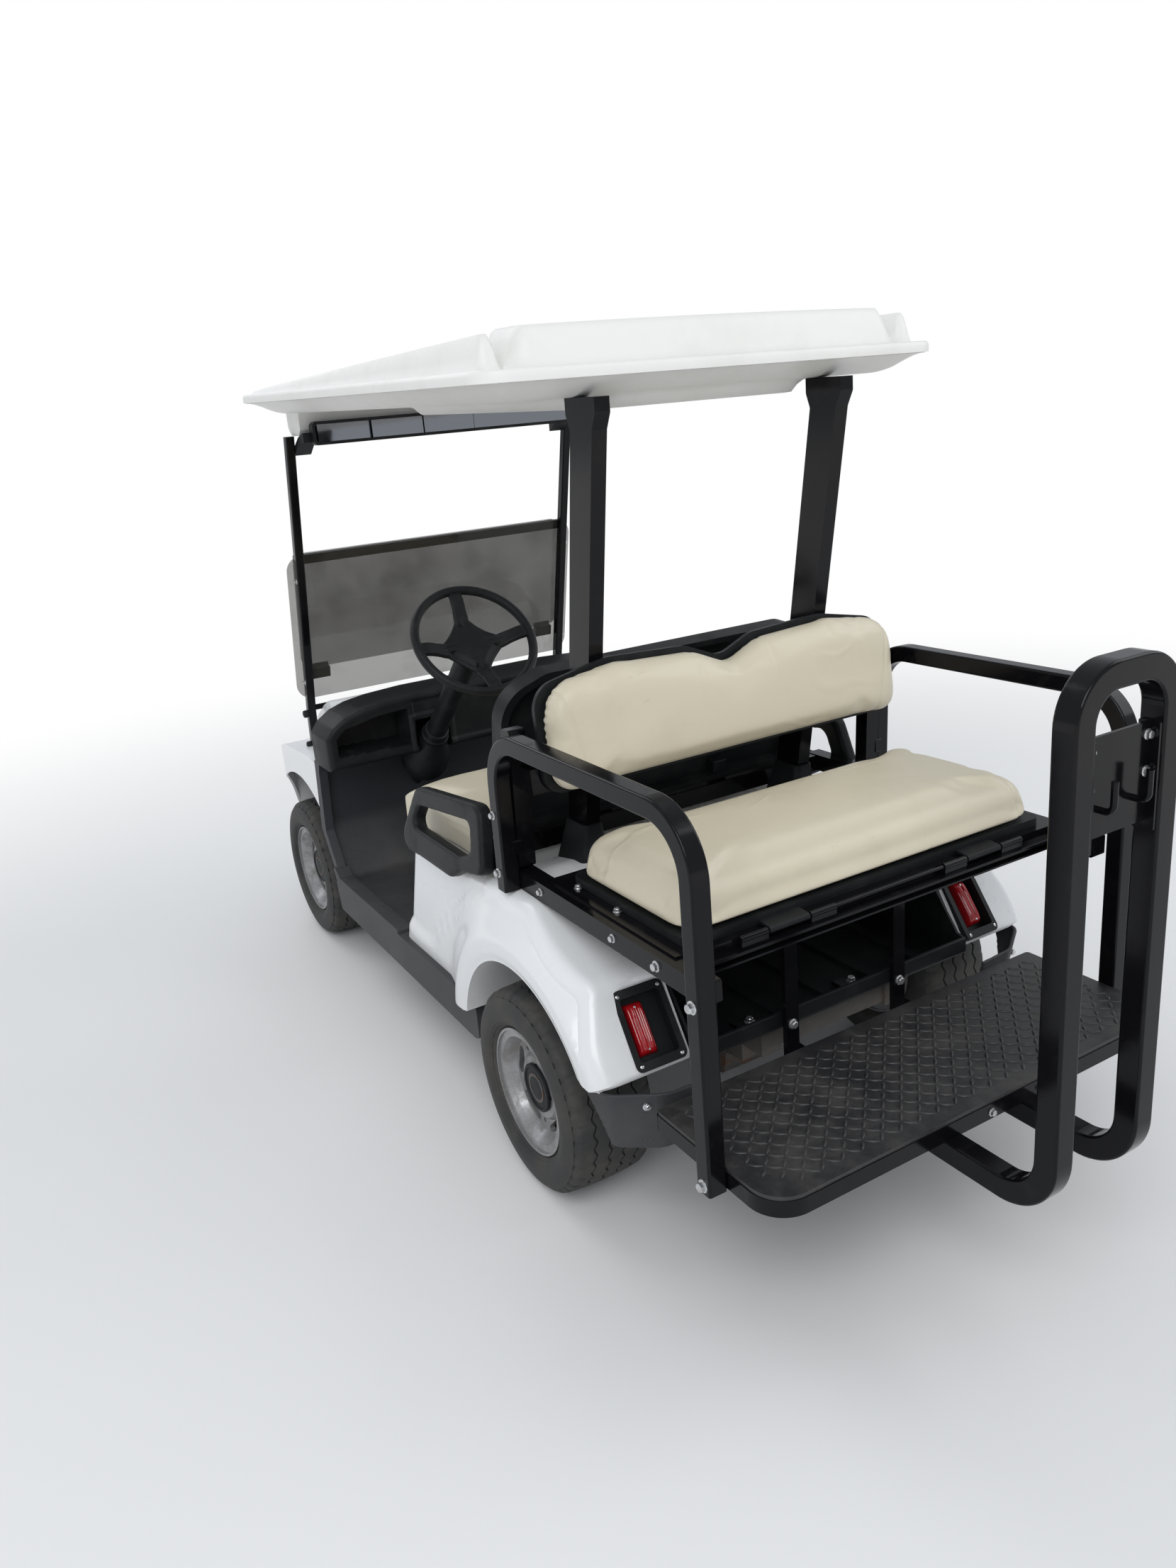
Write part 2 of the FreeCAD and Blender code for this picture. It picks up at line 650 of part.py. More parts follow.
def build_floor_tub():
    floor, wall, half = size.floor_height, size.panel_wall, size.floor_half
    front, rear, top = -size.door_front, -size.seat_front - 8, size.floor_height + 376
    inside = [(rear, floor), (front + 11, floor), (front - 84, floor + 148), (front - 54, floor + 346),
              (front - 50, top)]
    outside = [(front - 50 - wall, top), (front - 54 - wall, floor + 346),
               (front - 84 - wall - 1, floor + 149),
               (front + 7, floor - wall), (rear, floor - wall)]
    body = slab("floor_tub", "YZ", inside + outside, -half + 8, half * 2 - 16,
                [0, 30, 60, 0, 0, 0, 0, 66, 36, 0])
    under = 299.7
    deep = [(-306, 206), (-330, 196), (front + 20, 204), (front + 4, floor - wall), (front + 11, floor + 6),
            (front - 10, floor + 40), (front + 14, floor + 44), (front + 44, floor + size.sill_rise),
            (rear - 47, floor + size.sill_rise), (rear - 47, under), (-306, under)]
    flange = [(front - 84 - wall, floor + 148), (front + 2, floor), (front + 34, floor + 6),
              (front - 52, floor + 148),
              (front - 24, floor + 346), (front - 10, top), (front - 50 - wall, top),
              (front - 54 - wall, floor + 346)]
    rounds = [10, 14, 12, 6, 0, 0, 0, 10, 6, 0, 6]
    slab("left_sill", "YZ", deep, half - size.sill_width, size.sill_width, rounds, body=body)
    slab("left_flange", "YZ", flange, half - 34, 26, body=body)
    slab("right_flange", "YZ", flange, -half + 8, 26, body=body)
    slab("right_sill", "YZ", deep, -half, size.sill_width, rounds, body=body)
    keep(body, "floor_tub")


def plan_slab(name, corners, low, height, radii=0):
    return slab(name, "XY", corners, low, height, radii)


def build_front_cowl():
    """A hollow hood between two fenders, open behind and below, with its wheel arches cut."""
    front, wall, half = front_axle_y, size.panel_wall, size.cowl_half
    back, low = -size.door_front - 30.6, 358.5
    narrow = size.front_strut_half - size.front_strut_side / 2 - 2
    shells = []
    for name, inset in (("cowl_outer", 0), ("cowl_inner", wall)):
        rear = back + (200 if inset else 0)
        drop = -60 if inset else 0
        hood = [(rear, low + drop), (rear, 690), (rear, 849 - inset), (-1500, 800 - inset),
                (-1760, 690 - inset),
                (front - 318 + inset, 560), (front - 352 + inset, 420), (front - 350 + inset, low + drop)]
        plan = [(-narrow - 30 + inset, rear), (-narrow + inset, -1540), (-narrow + 40 + inset, front - 200),
                (-narrow + 110, front - 352 + inset), (narrow - 110, front - 352 + inset),
                (narrow - 40 - inset, front - 200), (narrow - inset, -1540), (narrow + 30 - inset, rear)]
        tall = slab(name + "_side", "YZ", hood, -half - 20, half * 2 + 40, [0, 0, 30, 120, 90, 60, 40, 0])
        flat = plan_slab(name + "_plan", plan, 100, 900, [0, 200, 90, 90, 90, 90, 200, 0])
        crown = boolean("Common", name + "_hood", tall, [flat])
        edge = back - 66 if not inset else back + 140
        fender = [(edge, low + drop), (edge, 470 - inset), (back - 40 + inset * 25, 640 - inset),
                  (-1500, 652 - inset),
                  (-1780, 640 - inset), (front - 260 + inset, 540), (front - 320 + inset, low + drop)]
        wide = [(-half - 14 + inset, edge + 60), (-half - 14 + inset, -1800),
                (-half + 60 + inset, front - 320 + inset),
                (half - 60 - inset, front - 320 + inset), (half + 14 - inset, -1800),
                (half + 14 - inset, edge + 60)]
        side = slab(name + "_fender_side", "YZ", fender, -half - 40, half * 2 + 80,
                    [0, 0, 40, 150, 150, 80, 0])
        flat = plan_slab(name + "_fender_plan", wide, 100, 900, [0, 90, 60, 60, 90, 0])
        shells.append(boolean("MultiFuse", name, crown, [boolean("Common", name + "_fenders", side, [flat])]))
    arch = cylinder("front_arch", size.front_arch_radius, 1400, -700, front, wheel_height, (0, 1, 0), 90)
    toe = slab("toe_clearance", "YZ", [(-1250, 250), (-1330, 250), (-1415, 430), (-1415, 470), (-1386, 640),
                                       (-1380, 668.3), (-1250, 668.3)], -600, 1200)
    shell = boolean("Cut", "front_cowl", shells[0], [arch, shells[1], toe])
    keep(shell, "front_cowl")


def build_front_bumper():
    """A rounded bar across the nose below the cowl."""
    front, half = front_axle_y - size.front_overhang, size.cowl_half - 90
    outer = [(-half - 34, front + 68), (-half, front + 26), (-half + 120, front), (half - 120, front),
             (half, front + 26), (half + 34, front + 68), (half - 20, front + 50), (-half + 20, front + 50)]
    body = slab("front_bumper", "XY", outer, 262, 96, [0, 60, 200, 200, 60, 0, 0, 0])
    for name, x in (("left_mount", 145), ("right_mount", -195)):
        slab(name, "XY", box_corners(x, x + 50, front + 40, front_axle_y - 200), 300, 50, body=body)
    keep(body, "front_bumper")


def build_head_lamps():
    left = slab("lamp_left", "XZ", [(210, 486), (322, 492), (330, 540), (222, 546)], 1880, 106, 18)
    nose = boolean("Cut", "lamp_left_cut", left, [doc.getObject("cowl_outer")])
    keep(pair("head_lamps", nose), "head_lamps")


def build_dash():
    back, face = -size.door_front - 30, -1196
    outline = [(-540, 668), (540, 668), (546, 760), (470, 832), (250, 852), (-250, 852), (-470, 832),
               (-546, 760)]
    body = slab("dash", "XZ", outline, -face, -back + face, [20, 20, 50, 60, 200, 200, 60, 50])
    # Pocket: its left and right sides, low and high sides.
    for number, (left, right, low, high) in enumerate([(330, 512, 700, 786), (-190, -20, 716, 800),
                                                       (-512, -230, 700, 786)]):
        slab(f"dash_pocket_{number}", "XZ", box_corners(left, right, low, high), -face - 2, 104, 22, body,
             "Pocket")
    passage = [(size.column_offset - 52, 660), (size.column_offset + 52, 660), (size.column_offset + 52, 770),
               (size.column_offset - 52, 770)]
    slab("column_passage", "XZ", passage, -face - 2, 200, [0, 0, 40, 40], body, "Pocket")
    keep(body, "dash")


# Rear body side outlines, along and up.
def body_side(inset):
    """The rear body's side outline, and the same outline one wall in and open below."""
    front, peak = -size.seat_front, body_peak
    low, under = 300 - inset * 20, arch_top - 137.5 - inset * 24
    return [(front - 46 + inset, low), (front + 84 + inset, seat_base - inset), (-330, seat_base - 2 - inset),
            (-140, peak - inset), (0, peak - inset), (238 - inset, arch_top + 40.5 - inset),
            (336 - inset * 1.5, arch_top - 119.5), (322 - inset * 2, under), (240, under), (240, low)]


def build_rear_body():
    wall, half, flare = size.panel_wall, size.body_half, flare_half
    radii = [10, 30, 120, 120, 90, 60, 16, 0, 0, 0]
    outer = slab("body_outer", "YZ", body_side(0), -half, half * 2, radii)
    inner = slab("body_inner", "YZ", body_side(wall), -half + wall, half * 2 - wall * 2, radii)
    front = -size.seat_front
    top, under = arch_top, arch_top - 137.2
    base = [(front - 46, 300), (front - 24, 356), (-450, top - 97.5), (-226, top + 118.5), (-40, top + 118.5),
            (180, top + 68.5), (270, top - 21.5), (332, top - 121.5), (324, under), (236, under), (236, 300)]
    crest = [(front - 40, 300), (front - 30, 336), (-432, top - 125.5), (-206, top + 82.5), (-60, top + 84.5),
             (150, top + 34.5), (238, top - 51.5), (294, top - 123.5), (288, under), (236, under), (236, 300)]
    bulges = []
    for name, inset in (("flare_outer", 0), ("flare_inner", wall)):
        low = inset * 2.2
        rings = []
        for x, line in ((float(half) - 30, base), (float(half), base), (float(flare) - inset, crest)):
            middle = Vector(x, -120, 420)
            corners = [Vector(x, float(y), float(z)) for y, z in line]
            if inset:
                corners = [corner + (middle - corner).normalize() * low for corner in corners]
                corners[0].z = corners[-1].z = 200
            rings.append(rounded_ring(corners, [0, 12, 60, 60, 120, 60, 60, 8, 0, 0, 0]))
        bulges.append(lofted(name, rings))
    outer_all = boolean("MultiFuse", "body_flared", outer,
                        [bulges[0], mirrored("flare_outer_right", bulges[0])])
    hollow = boolean("MultiFuse", "body_hollow", inner, [bulges[1], mirrored("flare_inner_right", bulges[1])])
    shell = boolean("Cut", "body_shell", outer_all, [hollow])
    house = cylinder("house_outer", size.arch_radius + wall, half - size.well_half - 4, size.well_half + 2, 0,
                     wheel_height, (0, 1, 0), 90)
    trim = box("house_trim", half, 700, 500, size.well_half, -350, 300)
    house = boolean("Common", "wheel_house", house, [trim])
    houses = boolean("MultiFuse", "body_housed", shell, [house, mirrored("wheel_house_right", house)])
    arch = cylinder("arch", size.arch_radius, 400, size.well_half + 2 + wall, 0, wheel_height, (0, 1, 0), 90)
    well = size.well_half
    mouth = box("well_mouth", well * 2, 460, 500, -well, -60, 380)
    hatch = box("drive_hatch", 300, 470, 80, -150, -630, seat_base - 36)
    tools = [arch, mirrored("arch_right", arch), mouth, hatch]
    socket = lamp_block("lamp_socket", 0.3, 60, 20)
    tools += [socket, mirrored("lamp_socket_right", socket)]
    body = boolean("Cut", "rear_body", houses, tools)
    keep(body, "rear_body")


# Tail lamp corners: from the body's side, behind the axle, above the arch's top.
LAMP_CORNERS = [(-31, 239, 13.5), (-140, 250, 18.5), (-137, 343, -112.5), (-27, 332, -119.5)]


def lamp_block(name, grow, depth, lift=0.0, shrink=0.0):
    """A block under the tail lamp's corners, down into the body."""
    corners = [Vector(float(size.body_half) + x, y, float(arch_top) + z) for x, y, z in LAMP_CORNERS]
    normal = (corners[1] - corners[0]).cross(corners[3] - corners[0]).normalize()
    if normal.y < 0:
        normal = normal * -1
    corners[2] = corners[2] - normal * (corners[2] - corners[0]).dot(normal)
    middle = (corners[0] + corners[1] + corners[2] + corners[3]) * 0.25
    rings = []
    for height in (lift, lift - depth):
        ring = [corner + (corner - middle).normalize() * (grow - shrink) + normal * height
                for corner in corners]
        rings.append(rounded_ring(ring, max(4, 14 - shrink / 3)))
    return lofted(name, rings)


def build_tail_lamps():
    block = lamp_block("bezel_block", 0, 34, 6)
    recess = lamp_block("bezel_recess", 0, 50, 20, 22)
    floor = lamp_block("bezel_floor", 0, 6, -24, 20)
    rim = boolean("Cut", "bezel_rim", block, [recess])
    bezel = boolean("MultiFuse", "bezel", rim, [floor])
    keep(pair("tail_lamp_bezels", bezel), "tail_lamp_bezels")
    lens = lamp_block("lens_block", 0, 22, -1, 26)
    side = box("lens_side", 60, 200, 300, size.body_half - 82, 200, arch_top - 161.5)
    keep(pair("tail_lamp_lenses", boolean("Common", "lens", lens, [side])), "tail_lamp_lenses")


def build_rear_bumper():
    """Dark corner pieces below the tail lamps."""
    wall, flare = size.panel_wall, flare_half
    walls = []
    for name, inset in (("bumper_outer", 0), ("bumper_inner", wall)):
        near, side = float(size.well_half) - 2 - inset * 2, float(flare) - inset
        plan = [(near, 240), (side - 6, 240), (side - 20, 330 - inset), (side + inset - 115, 394 - inset),
                (near, 402 - inset)]
        lower = [(near, 240), (side - 26, 240), (side - 46, 310 - inset), (side + inset - 115, 366 - inset),
                 (near, 372 - inset)]
        low, high = float(arch_top) - 275.5 - inset, float(arch_top) - 137.8 + inset
        rings = [rounded_ring([Vector(x, y, low) for x, y in lower], [0, 0, 40, 60, 0]),
                 rounded_ring([Vector(x, y, high) for x, y in plan], [0, 0, 40, 60, 0])]
        walls.append(lofted(name, rings))
    arch = cylinder("bumper_arch", size.arch_radius, 400, 300, 0, wheel_height, (0, 1, 0), 90)
    corner = boolean("Cut", "bumper_corner", walls[0], [walls[1], arch])
    keep(pair("rear_bumper", corner), "rear_bumper")


def build_bag_well():
    half, wall, low = size.well_half - 4, size.panel_wall, size.well_floor
    outline = [(-56, low - wall), (352, low - wall), (352, low + 34), (330, low + 40), (238, arch_top + 28.5),
               (60, body_peak - 19.8), (-56, body_peak - 19.8)]
    inside = [(-56 + wall, low), (352 - wall, low), (352 - wall, low + 60), (238, body_peak + 40),
              (60, body_peak + 140), (-56 + wall, body_peak + 140)]
    body = slab("bag_well", "YZ", outline, -half, half * 2, [12, 12, 4, 8, 40, 40, 12])
    slab("well_inside", "YZ", inside, -half + wall, half * 2 - wall * 2, [8, 8, 0, 0, 0, 0], body, "Pocket")
    for number in range(5):
        middle = (number - 2) * 130
        slab(f"well_rib_{number}", "XY", box_corners(middle - 14, middle + 14, 20, 330), low, 9, 6, body)
    keep(body, "bag_well")


# Roof


def roof_rings(inset):
    """Rings of the roof's lip block and of its crown, one wall in when inset is given."""
    half = float(size.roof_half) - inset
    front, rear = -float(size.roof_front) + inset, float(size.roof_rear) - inset
    lip, rise = float(size.roof_lip), float(size.crown_rise)
    edge = [plan_ring(half, front, rear, height, height, 70 - inset) for height in (-inset * 4, lip - inset)]
    wedge = [plan_ring(half - 26, front + 26, -150 - inset, lip - 12 - inset, lip - 12 - inset, 60),
             plan_ring(half - 60, front + 70, -240 - inset, lip + 4 - inset, lip + rise - 14 - inset, 46)]
    band = [plan_ring(half - 34, -128 + inset, rear - 30, lip - 12 - inset, lip - 12 - inset, 60),
            plan_ring(half - 78, -96 + inset, rear - 74, lip + rise - inset, lip + rise - inset, 40)]
    return edge, wedge, band


def build_roof():
    blocks = []
    for name, inset in (("roof_outer", 0.0), ("roof_inner", float(size.roof_wall))):
        edge, wedge, band = roof_rings(inset)
        solids = [lofted(f"{name}_{part}", rings)
                  for part, rings in (("edge", edge), ("wedge", wedge), ("band", band))]
        blocks.append(boolean("MultiFuse", name, solids[0], solids[1:]))
    top = boolean("Cut", "roof_top", blocks[0], [blocks[1]])
    tilt = -float(size.roof_tilt)
    low = size.roof_lip_height - size.roof_lip
    keep(top, "roof_top", z=low, axis=(1, 0, 0), angle=tilt)
    half, front, rear, wall = float(size.roof_half), -float(size.roof_front), float(size.roof_rear), 5.0
    trays = []
    for name, inset in (("liner_outer", 0.0), ("liner_inner", wall)):
        rings = [plan_ring(half - 5.3 - inset, front + 5.3 + inset, rear - 5.3 - inset, 12 + inset,
                           12 + inset, 64),
                 plan_ring(half - 5.3 - inset, front + 5.3 + inset, rear - 5.3 - inset, inset, inset, 64),
                 plan_ring(half - 90 - inset, front + 90 + inset, rear - 70 - inset, -24 + inset,
                           -34 + inset, 60)]
        trays.append(lofted(name, rings))
    liner = boolean("Cut", "liner_tray", trays[0], [trays[1]])
    beam = slab("liner_beam", "YZ", [(-1440, -96), (-1350, -96), (-1340, -16), (-1450, -16)], -440, 880,
                [20, 20, 0, 0])
    foot = boolean("Cut", "liner_beam_cut", beam, [trays[0]])
    joined = boolean("MultiFuse", "roof_liner", liner, [foot])
    keep(joined, "roof_liner", z=low - 0.0, axis=(1, 0, 0), angle=tilt)


def build_rear_struts():
    """The struts and their boots stand on the rear body's top, which trims them."""
    foot_y, foot_z, top_y = -size.strut_foot_ahead, body_peak - 30, -size.strut_top_ahead
    wide, thick = size.strut_wide / 2, size.strut_thick
    top_z = size.roof_lip_height - size.roof_lip - 35
    outline = [(foot_y - wide, foot_z), (foot_y + wide, foot_z), (top_y + wide, top_z - 60),
               (top_y + wide + 16, top_z - 30), (top_y + wide + 16, top_z - 1),
               (top_y - wide - 16, top_z + 2),
               (top_y - wide - 16, top_z - 30), (top_y - wide - 4, top_z - 60)]
    body = slab("strut", "YZ", outline, size.strut_half - thick / 2, thick, [0, 0, 8, 8, 0, 0, 8, 8])
    block = doc.getObject("body_outer")
    keep(pair("rear_struts", boolean("Cut", "strut_trimmed", body, [block])), "rear_struts")
    low, high = float(foot_z), float(body_peak + size.boot_rise)
    slope = float(top_y - foot_y) / float(top_z - 60 - foot_z)
    rings = []
    for z, grow in ((low, 24), (high, 7)):
        y = float(foot_y) + (z - low) * slope
        reach_x, reach_y = float(thick) / 2 + grow, float(wide) + grow
        rings.append(rounded_ring([Vector(float(size.strut_half) + sx * reach_x, y + sy * reach_y, z)
                                   for sx, sy in ((-1, -1), (1, -1), (1, 1), (-1, 1))], 14))
    boot = boolean("Cut", "boot", lofted("boot_block", rings), [body, block])
    keep(pair("strut_boots", boot), "strut_boots")


# Glass and front frame


STRUT_SLOPE = 240 / 929


def strut_y(z):
    """Where the front strut's middle is at a height."""
    return -1617 + (z - 766) * STRUT_SLOPE


def build_front_struts():
    side, out = size.front_strut_side, size.front_strut_half
    top = 1640
    left = tube("front_strut", "YZ", out, [(-1633, 630), (-1617, 766), (strut_y(top), top)], 80, "XY", side,
                4)
    bar = cylinder("front_bar", 9, out * 2 - 20, -out + 10, -1617, 772, (0, 1, 0), 90)
    joined = boolean("MultiFuse", "front_frame", left, [mirrored("front_strut_right", left), bar])
    # The roof beam's underside trims the struts above, and the fenders trim them below.
    beam = size.roof_lip_height - size.roof_lip - 96.2
    above = slab("above_struts", "YZ", [(-1500, beam + 35.3), (-1300, beam + 30.6), (-1300, beam + 200),
                                        (-1500, beam + 200)], -600, 1200)
    joined = boolean("Cut", "front_struts", joined, [above, doc.getObject("cowl_outer")])
    keep(joined, "front_struts")


def build_windshield():
    """The lower pane lies on the struts; the upper one is folded down ahead of it, on a hinge strip."""
    half, wall, high = size.pane_half, size.pane_wall, size.pane_height
    angle = -math.degrees(math.atan(STRUT_SLOPE))
    set_back = size.front_strut_side / 2 + size.seat_gap
    low, fold = 800, 12
    # Pane: half width, low edge along the slope, ahead of the struts' face, height, corner radius.
    panes = [("windshield_lower", half, 0, 0, high + 76, 50),
             ("windshield_upper", half - 26, 96, fold + wall, high - 20, 40)]
    for name, reach, rise, ahead, tall, corner in panes:
        body = slab(name, "XZ", box_corners(-reach, reach, rise, rise + tall), set_back + ahead, wall, corner)
        keep(body, name, 0, strut_y(low), low, (1, 0, 0), angle)
    front = -set_back - wall
    clip = slab("clip", "YZ", [(front, 62), (front - fold - wall - 4, 62), (front - fold - wall - 4, 106),
                               (front - fold - wall, 106), (front - fold - wall, 95.7), (front, 95.7)], 376,
                60)
    hinge = slab("hinge_strip", "XZ", box_corners(-half + 26, half - 26, high + 46, high + 74),
                 set_back + wall,
                 fold, 4)
    both = doc.addObject("Part::Compound", "windshield_clips")
    both.Links = [pair("clips", clip), hinge]
    keep(both, "windshield_clips", 0, strut_y(low), low, (1, 0, 0), angle)


def build_mirror():
    """Five angled panes in a long housing, hung from the front struts."""
    half, height = 418, 64
    housing = slab("mirror_housing", "XZ", box_corners(-half, half, -height / 2, height / 2), 0, 30, 14)
    slab("mirror_window", "XZ", box_corners(-half + 8, half - 8, -height / 2 + 8, height / 2 - 8), -1, 21, 8,
         housing, "Pocket")
    for name, x in (("left_arm", 394), ("right_arm", -441.7)):
        slab(name, "YZ", [(-20, -22), (-66, -22), (-120, -56), (-120, -34), (-66, -6), (-20, 4)], x, 47.7,
             body=housing)
    keep(housing, "mirror_housing", 0, -1290, 1609)
    panes = []
    for number in range(5):
        left, right = (number - 2.5) * 162 + 1.5, (number - 1.5) * 162 - 1.5
        lean = (number - 2) * 3.4
        outline = [(left, -19.7), (right, -19.7), (right, -9 + lean), (left, -9 - lean)]
        panes.append(slab(f"mirror_pane_{number}", "XY", outline, -height / 2 + 8.5, height - 17))
    glass = doc.addObject("Part::Compound", "mirror_glass")
    glass.Links = panes
    keep(glass, "mirror_glass", 0, -1290, 1609)


# Controls


def build_steering():
    """The wheel is drawn about its own axis, which then leans with the column."""
    ring, grip, lean = size.wheel_rim_dia / 2, size.wheel_grip_dia / 2, float(size.column_lean)
    torus = doc.addObject("Part::Torus", "grip_ring")
    bind(torus, "Radius1", ring - grip)
    bind(torus, "Radius2", grip)
    hub = [(-66, -52), (66, -52), (74, 30), (40, 62), (-40, 62), (-74, 30)]
    pad = slab("wheel_hub", "XY", hub, -58, 40, [22, 22, 20, 16, 16, 20])
    solids = [pad]
    spokes = [("spoke_left", [(50, -16), (150, -6), (157, 14), (150, 30), (56, 30)]),
              ("spoke_right", [(-50, -16), (-150, -6), (-157, 14), (-150, 30), (-56, 30)]),
              ("spoke_low_left", [(14, -40), (52, -40), (66, -146), (36, -154)]),
              ("spoke_low_right", [(-14, -40), (-52, -40), (-66, -146), (-36, -154)])]
    for name, outline in spokes:
        solids.append(slab(name, "XY", outline, -36, 28))
    neck = cylinder("wheel_neck", 24, 36, 0, 0, -90)
    bore = cylinder("wheel_bore", 11 + size.running_gap, 60, 0, 0, -92)
    whole = boolean("MultiFuse", "wheel_whole", torus, solids + [neck])
    wheel = boolean("Cut", "steering_wheel", whole, [bore])
    keep(wheel, "steering_wheel", size.column_offset, -820, 1052, (1, 0, 0), -lean)
    shaft = cylinder("column_shaft", 11, 90, 0, 0, -130)
    sleeve = cylinder("column_sleeve", 30, 428, 0, 0, -520)
    root = cylinder("column_root", 20, 200, 0, 0, -830)
    boot = doc.addObject("Part::Cone", "column_boot")
    for key, value in (("Radius1", 62), ("Radius2", 34), ("Height", 150)):
        bind(boot, key, value)
    put(boot, 0, 0, -640)
    joined = boolean("MultiFuse", "column_whole", sleeve, [shaft, boot, root])
    put(joined, size.column_offset, -820, 1052, (1, 0, 0), -lean)
    keep(boolean("Cut", "steering_column", joined, [toe_block()]), "steering_column")


def build_pedals():
    """Two pedals hung on arms from the toe board."""
    low, front = size.floor_height, -size.door_front
    plate = [(front - 40, low + 190), (front - 30, low + 196), (front + 60, low + 96), (front + 52, low + 88)]
    body = slab("pedal_plates", "YZ", plate, 60, 110, [3, 3, 3, 3])
    slab("go_pedal", "YZ", plate, 196, 70, [3, 3, 3, 3], body)
    slab("pedal_bar", "YZ", [(front - 120, low + 150), (front - 8, low + 150), (front - 8, low + 168),
                             (front - 120, low + 168)], 90, 140, [0, 4, 4, 0], body)
    keep(boolean("Cut", "pedals", body, [doc.getObject("ahead_of_toe")]), "pedals")


# Front seat


def build_front_seat():
    half, top = size.bench_half, seat_base + 86
    base = seat_base + size.seat_gap
    side = [(-663, base), (-681, base - 38.3), (-706, base - 48.3), (-808, base - 28.3), (-822, base + 41.7),
            (-760, top), (-400, top - 12),
            (-322, top - 18), (-322, base + 1)]
    outer = slab("bench_side", "YZ", side, -half, half * 2, [0, 6, 12, 20, 26, 30, 60, 16, 6])
    plan = plan_slab("bench_plan", [(-half, -322), (-half, -800), (-half + 60, -824), (half - 60, -824),
                                    (half, -800), (half, -322)], base - 66.3, 200, [20, 60, 80, 80, 60, 20])
    keep(boolean("Common", "front_seat_bottom", outer, [plan]), "front_seat_bottom")
    # The backrest is drawn upright and then leaned back.
    lean = math.degrees(math.atan(70 / 360))
    outline = [(-440, 100), (-440, 330), (-330, 372), (330, 372), (440, 330), (440, 100), (396, 0), (-396, 0)]
    radii = [60, 90, 60, 60, 90, 60, 50, 50]
    back = slab("front_seat_back", "XZ", outline, -30, 30, radii)
    slab("back_crown", "XZ", [(x * 0.96, 186 + (z - 186) * 0.94) for x, z in outline], 0, 28, radii, back)
    keep(back, "front_seat_back", 0, -340, seat_base + 96, (1, 0, 0), -lean)
    shell = slab("seat_shell_body", "XZ", [(x * 1.012, 186 + (z - 186) * 1.024) for x, z in outline], -76,
                 45.7,
                 radii)
    slab("shell_hollow", "XZ", [(x * 0.975, 186 + (z - 186) * 0.95) for x, z in outline], -80, 38, radii,
         shell,
         "Pocket")
    for name, x in (("left_stay", 150), ("right_stay", -190)):
        slab(name, "YZ", [(40, -60), (66, -60), (66, 40), (40, 40)], x, 40, 4, shell)
    put(shell, 0, -340, seat_base + 96, (1, 0, 0), -lean)
    under = slab("under_shell", "YZ", box_corners(-420, -200, 500, deck_height - size.deck_wall - 1.7),
                 -300, 600)
    keep(boolean("Cut", "front_seat_shell", shell, [under]), "front_seat_shell")


def build_hip_restraints():
    """Thick moulded loops that lean in over the body's top edges beside the seat."""
    outside = [(-652, -46), (-566, 120), (-206, 160), (-172, 8), (-290, -16), (-345, -46)]
    hole = [(-580, 18), (-538, 78), (-254, 112), (-240, 42), (-300, 18)]
    half, edge = float(size.restraint_wide) / 2, 6
    blocks = []
    # Block: outline, corner radii, growth at its faces, reach past its faces.
    for name, outline, radii, grow, past in (("restraint_block", outside, [36, 44, 40, 24, 40, 30], -edge, 0),
                                             ("restraint_hole", hole, [20, 24, 24, 20, 20], edge, 1)):
        middle = Vector(0, sum(y for y, z in outline) / len(outline),
                        sum(z for y, z in outline) / len(outline))
        rings = []
        for x, more in ((-half - past, grow), (edge - half, 0), (half - edge, 0), (half + past, grow)):
            ring = []
            for y, z in outline:
                corner = Vector(0, y, z)
                ring.append(corner + (corner - middle).normalize() * more + Vector(x, 0, 0))
            rings.append(rounded_ring(ring, radii))
        blocks.append(lofted(name, rings))
    loop = boolean("Cut", "restraint", blocks[0], [blocks[1]])
    put(loop, size.body_half + 13.4, 0, seat_base + 30, (0, 1, 0), -10)
    keep(pair("hip_restraints", loop), "hip_restraints")


# Rear seat kit


def build_rear_arms():
    out, side, corner = size.kit_half, size.tube_side, size.tube_corner
    deck = deck_height
    path = [(size.arm_front - 10, deck - 45), (size.arm_front, arm_top), (size.arm_rear, arm_top),
            (size.arm_rear, size.footrest_height - 36)]
    outer = tube("arm_loop", "YZ", out, path, size.arm_bend, "XY", side, corner)
    inner = slab("arm_upright", "YZ", [(-104, deck), (-66, deck), (-52, arm_top + 10), (-90, arm_top + 10)],
                 out - side * 1.5 - 0.5,
                 side, 8)
    plates = [slab(f"arm_link_{number}", "YZ", box_corners(-100, -62, low, low + 34), out - side / 2 - 8,
                   20, 4)
              for number, low in enumerate((deck + 34, arm_top - 60))]
    # The bracket that holds the seat back: its slanted end lies on the back board.
    plates.append(slab("back_bracket", "YZ", [(-90, deck + 174), (-7.6, deck + 174), (-12.6, deck + 226),
                                              (-90, deck + 226)], 430, 56))
    joined = boolean("MultiFuse", "rear_arm", outer, [inner] + plates)
    keep(pair("rear_arms", joined), "rear_arms")


def build_rear_seat_rails():
    """Side rails and a front cross rail, which carry the deck."""
    out, top = size.kit_half - size.tube_side / 2, deck_height - size.deck_wall
    body = slab("rear_seat_rails", "XZ", box_corners(-out, out, top - size.rail_tall, top - 2), 249, 38)
    for name, x in (("left_rail", out - 38), ("right_rail", -out)):
        slab(name, "YZ", box_corners(-287, 586, top - size.rail_tall, top), x, 38, 4, body)
    slab("rear_cross", "XZ", box_corners(-out, out, top - 36, top - 2), -300, 26, body=body)
    keep(body, "rear_seat_rails")


hinge_y = size.deck_rear - 5
hinge_z = deck_height - 1


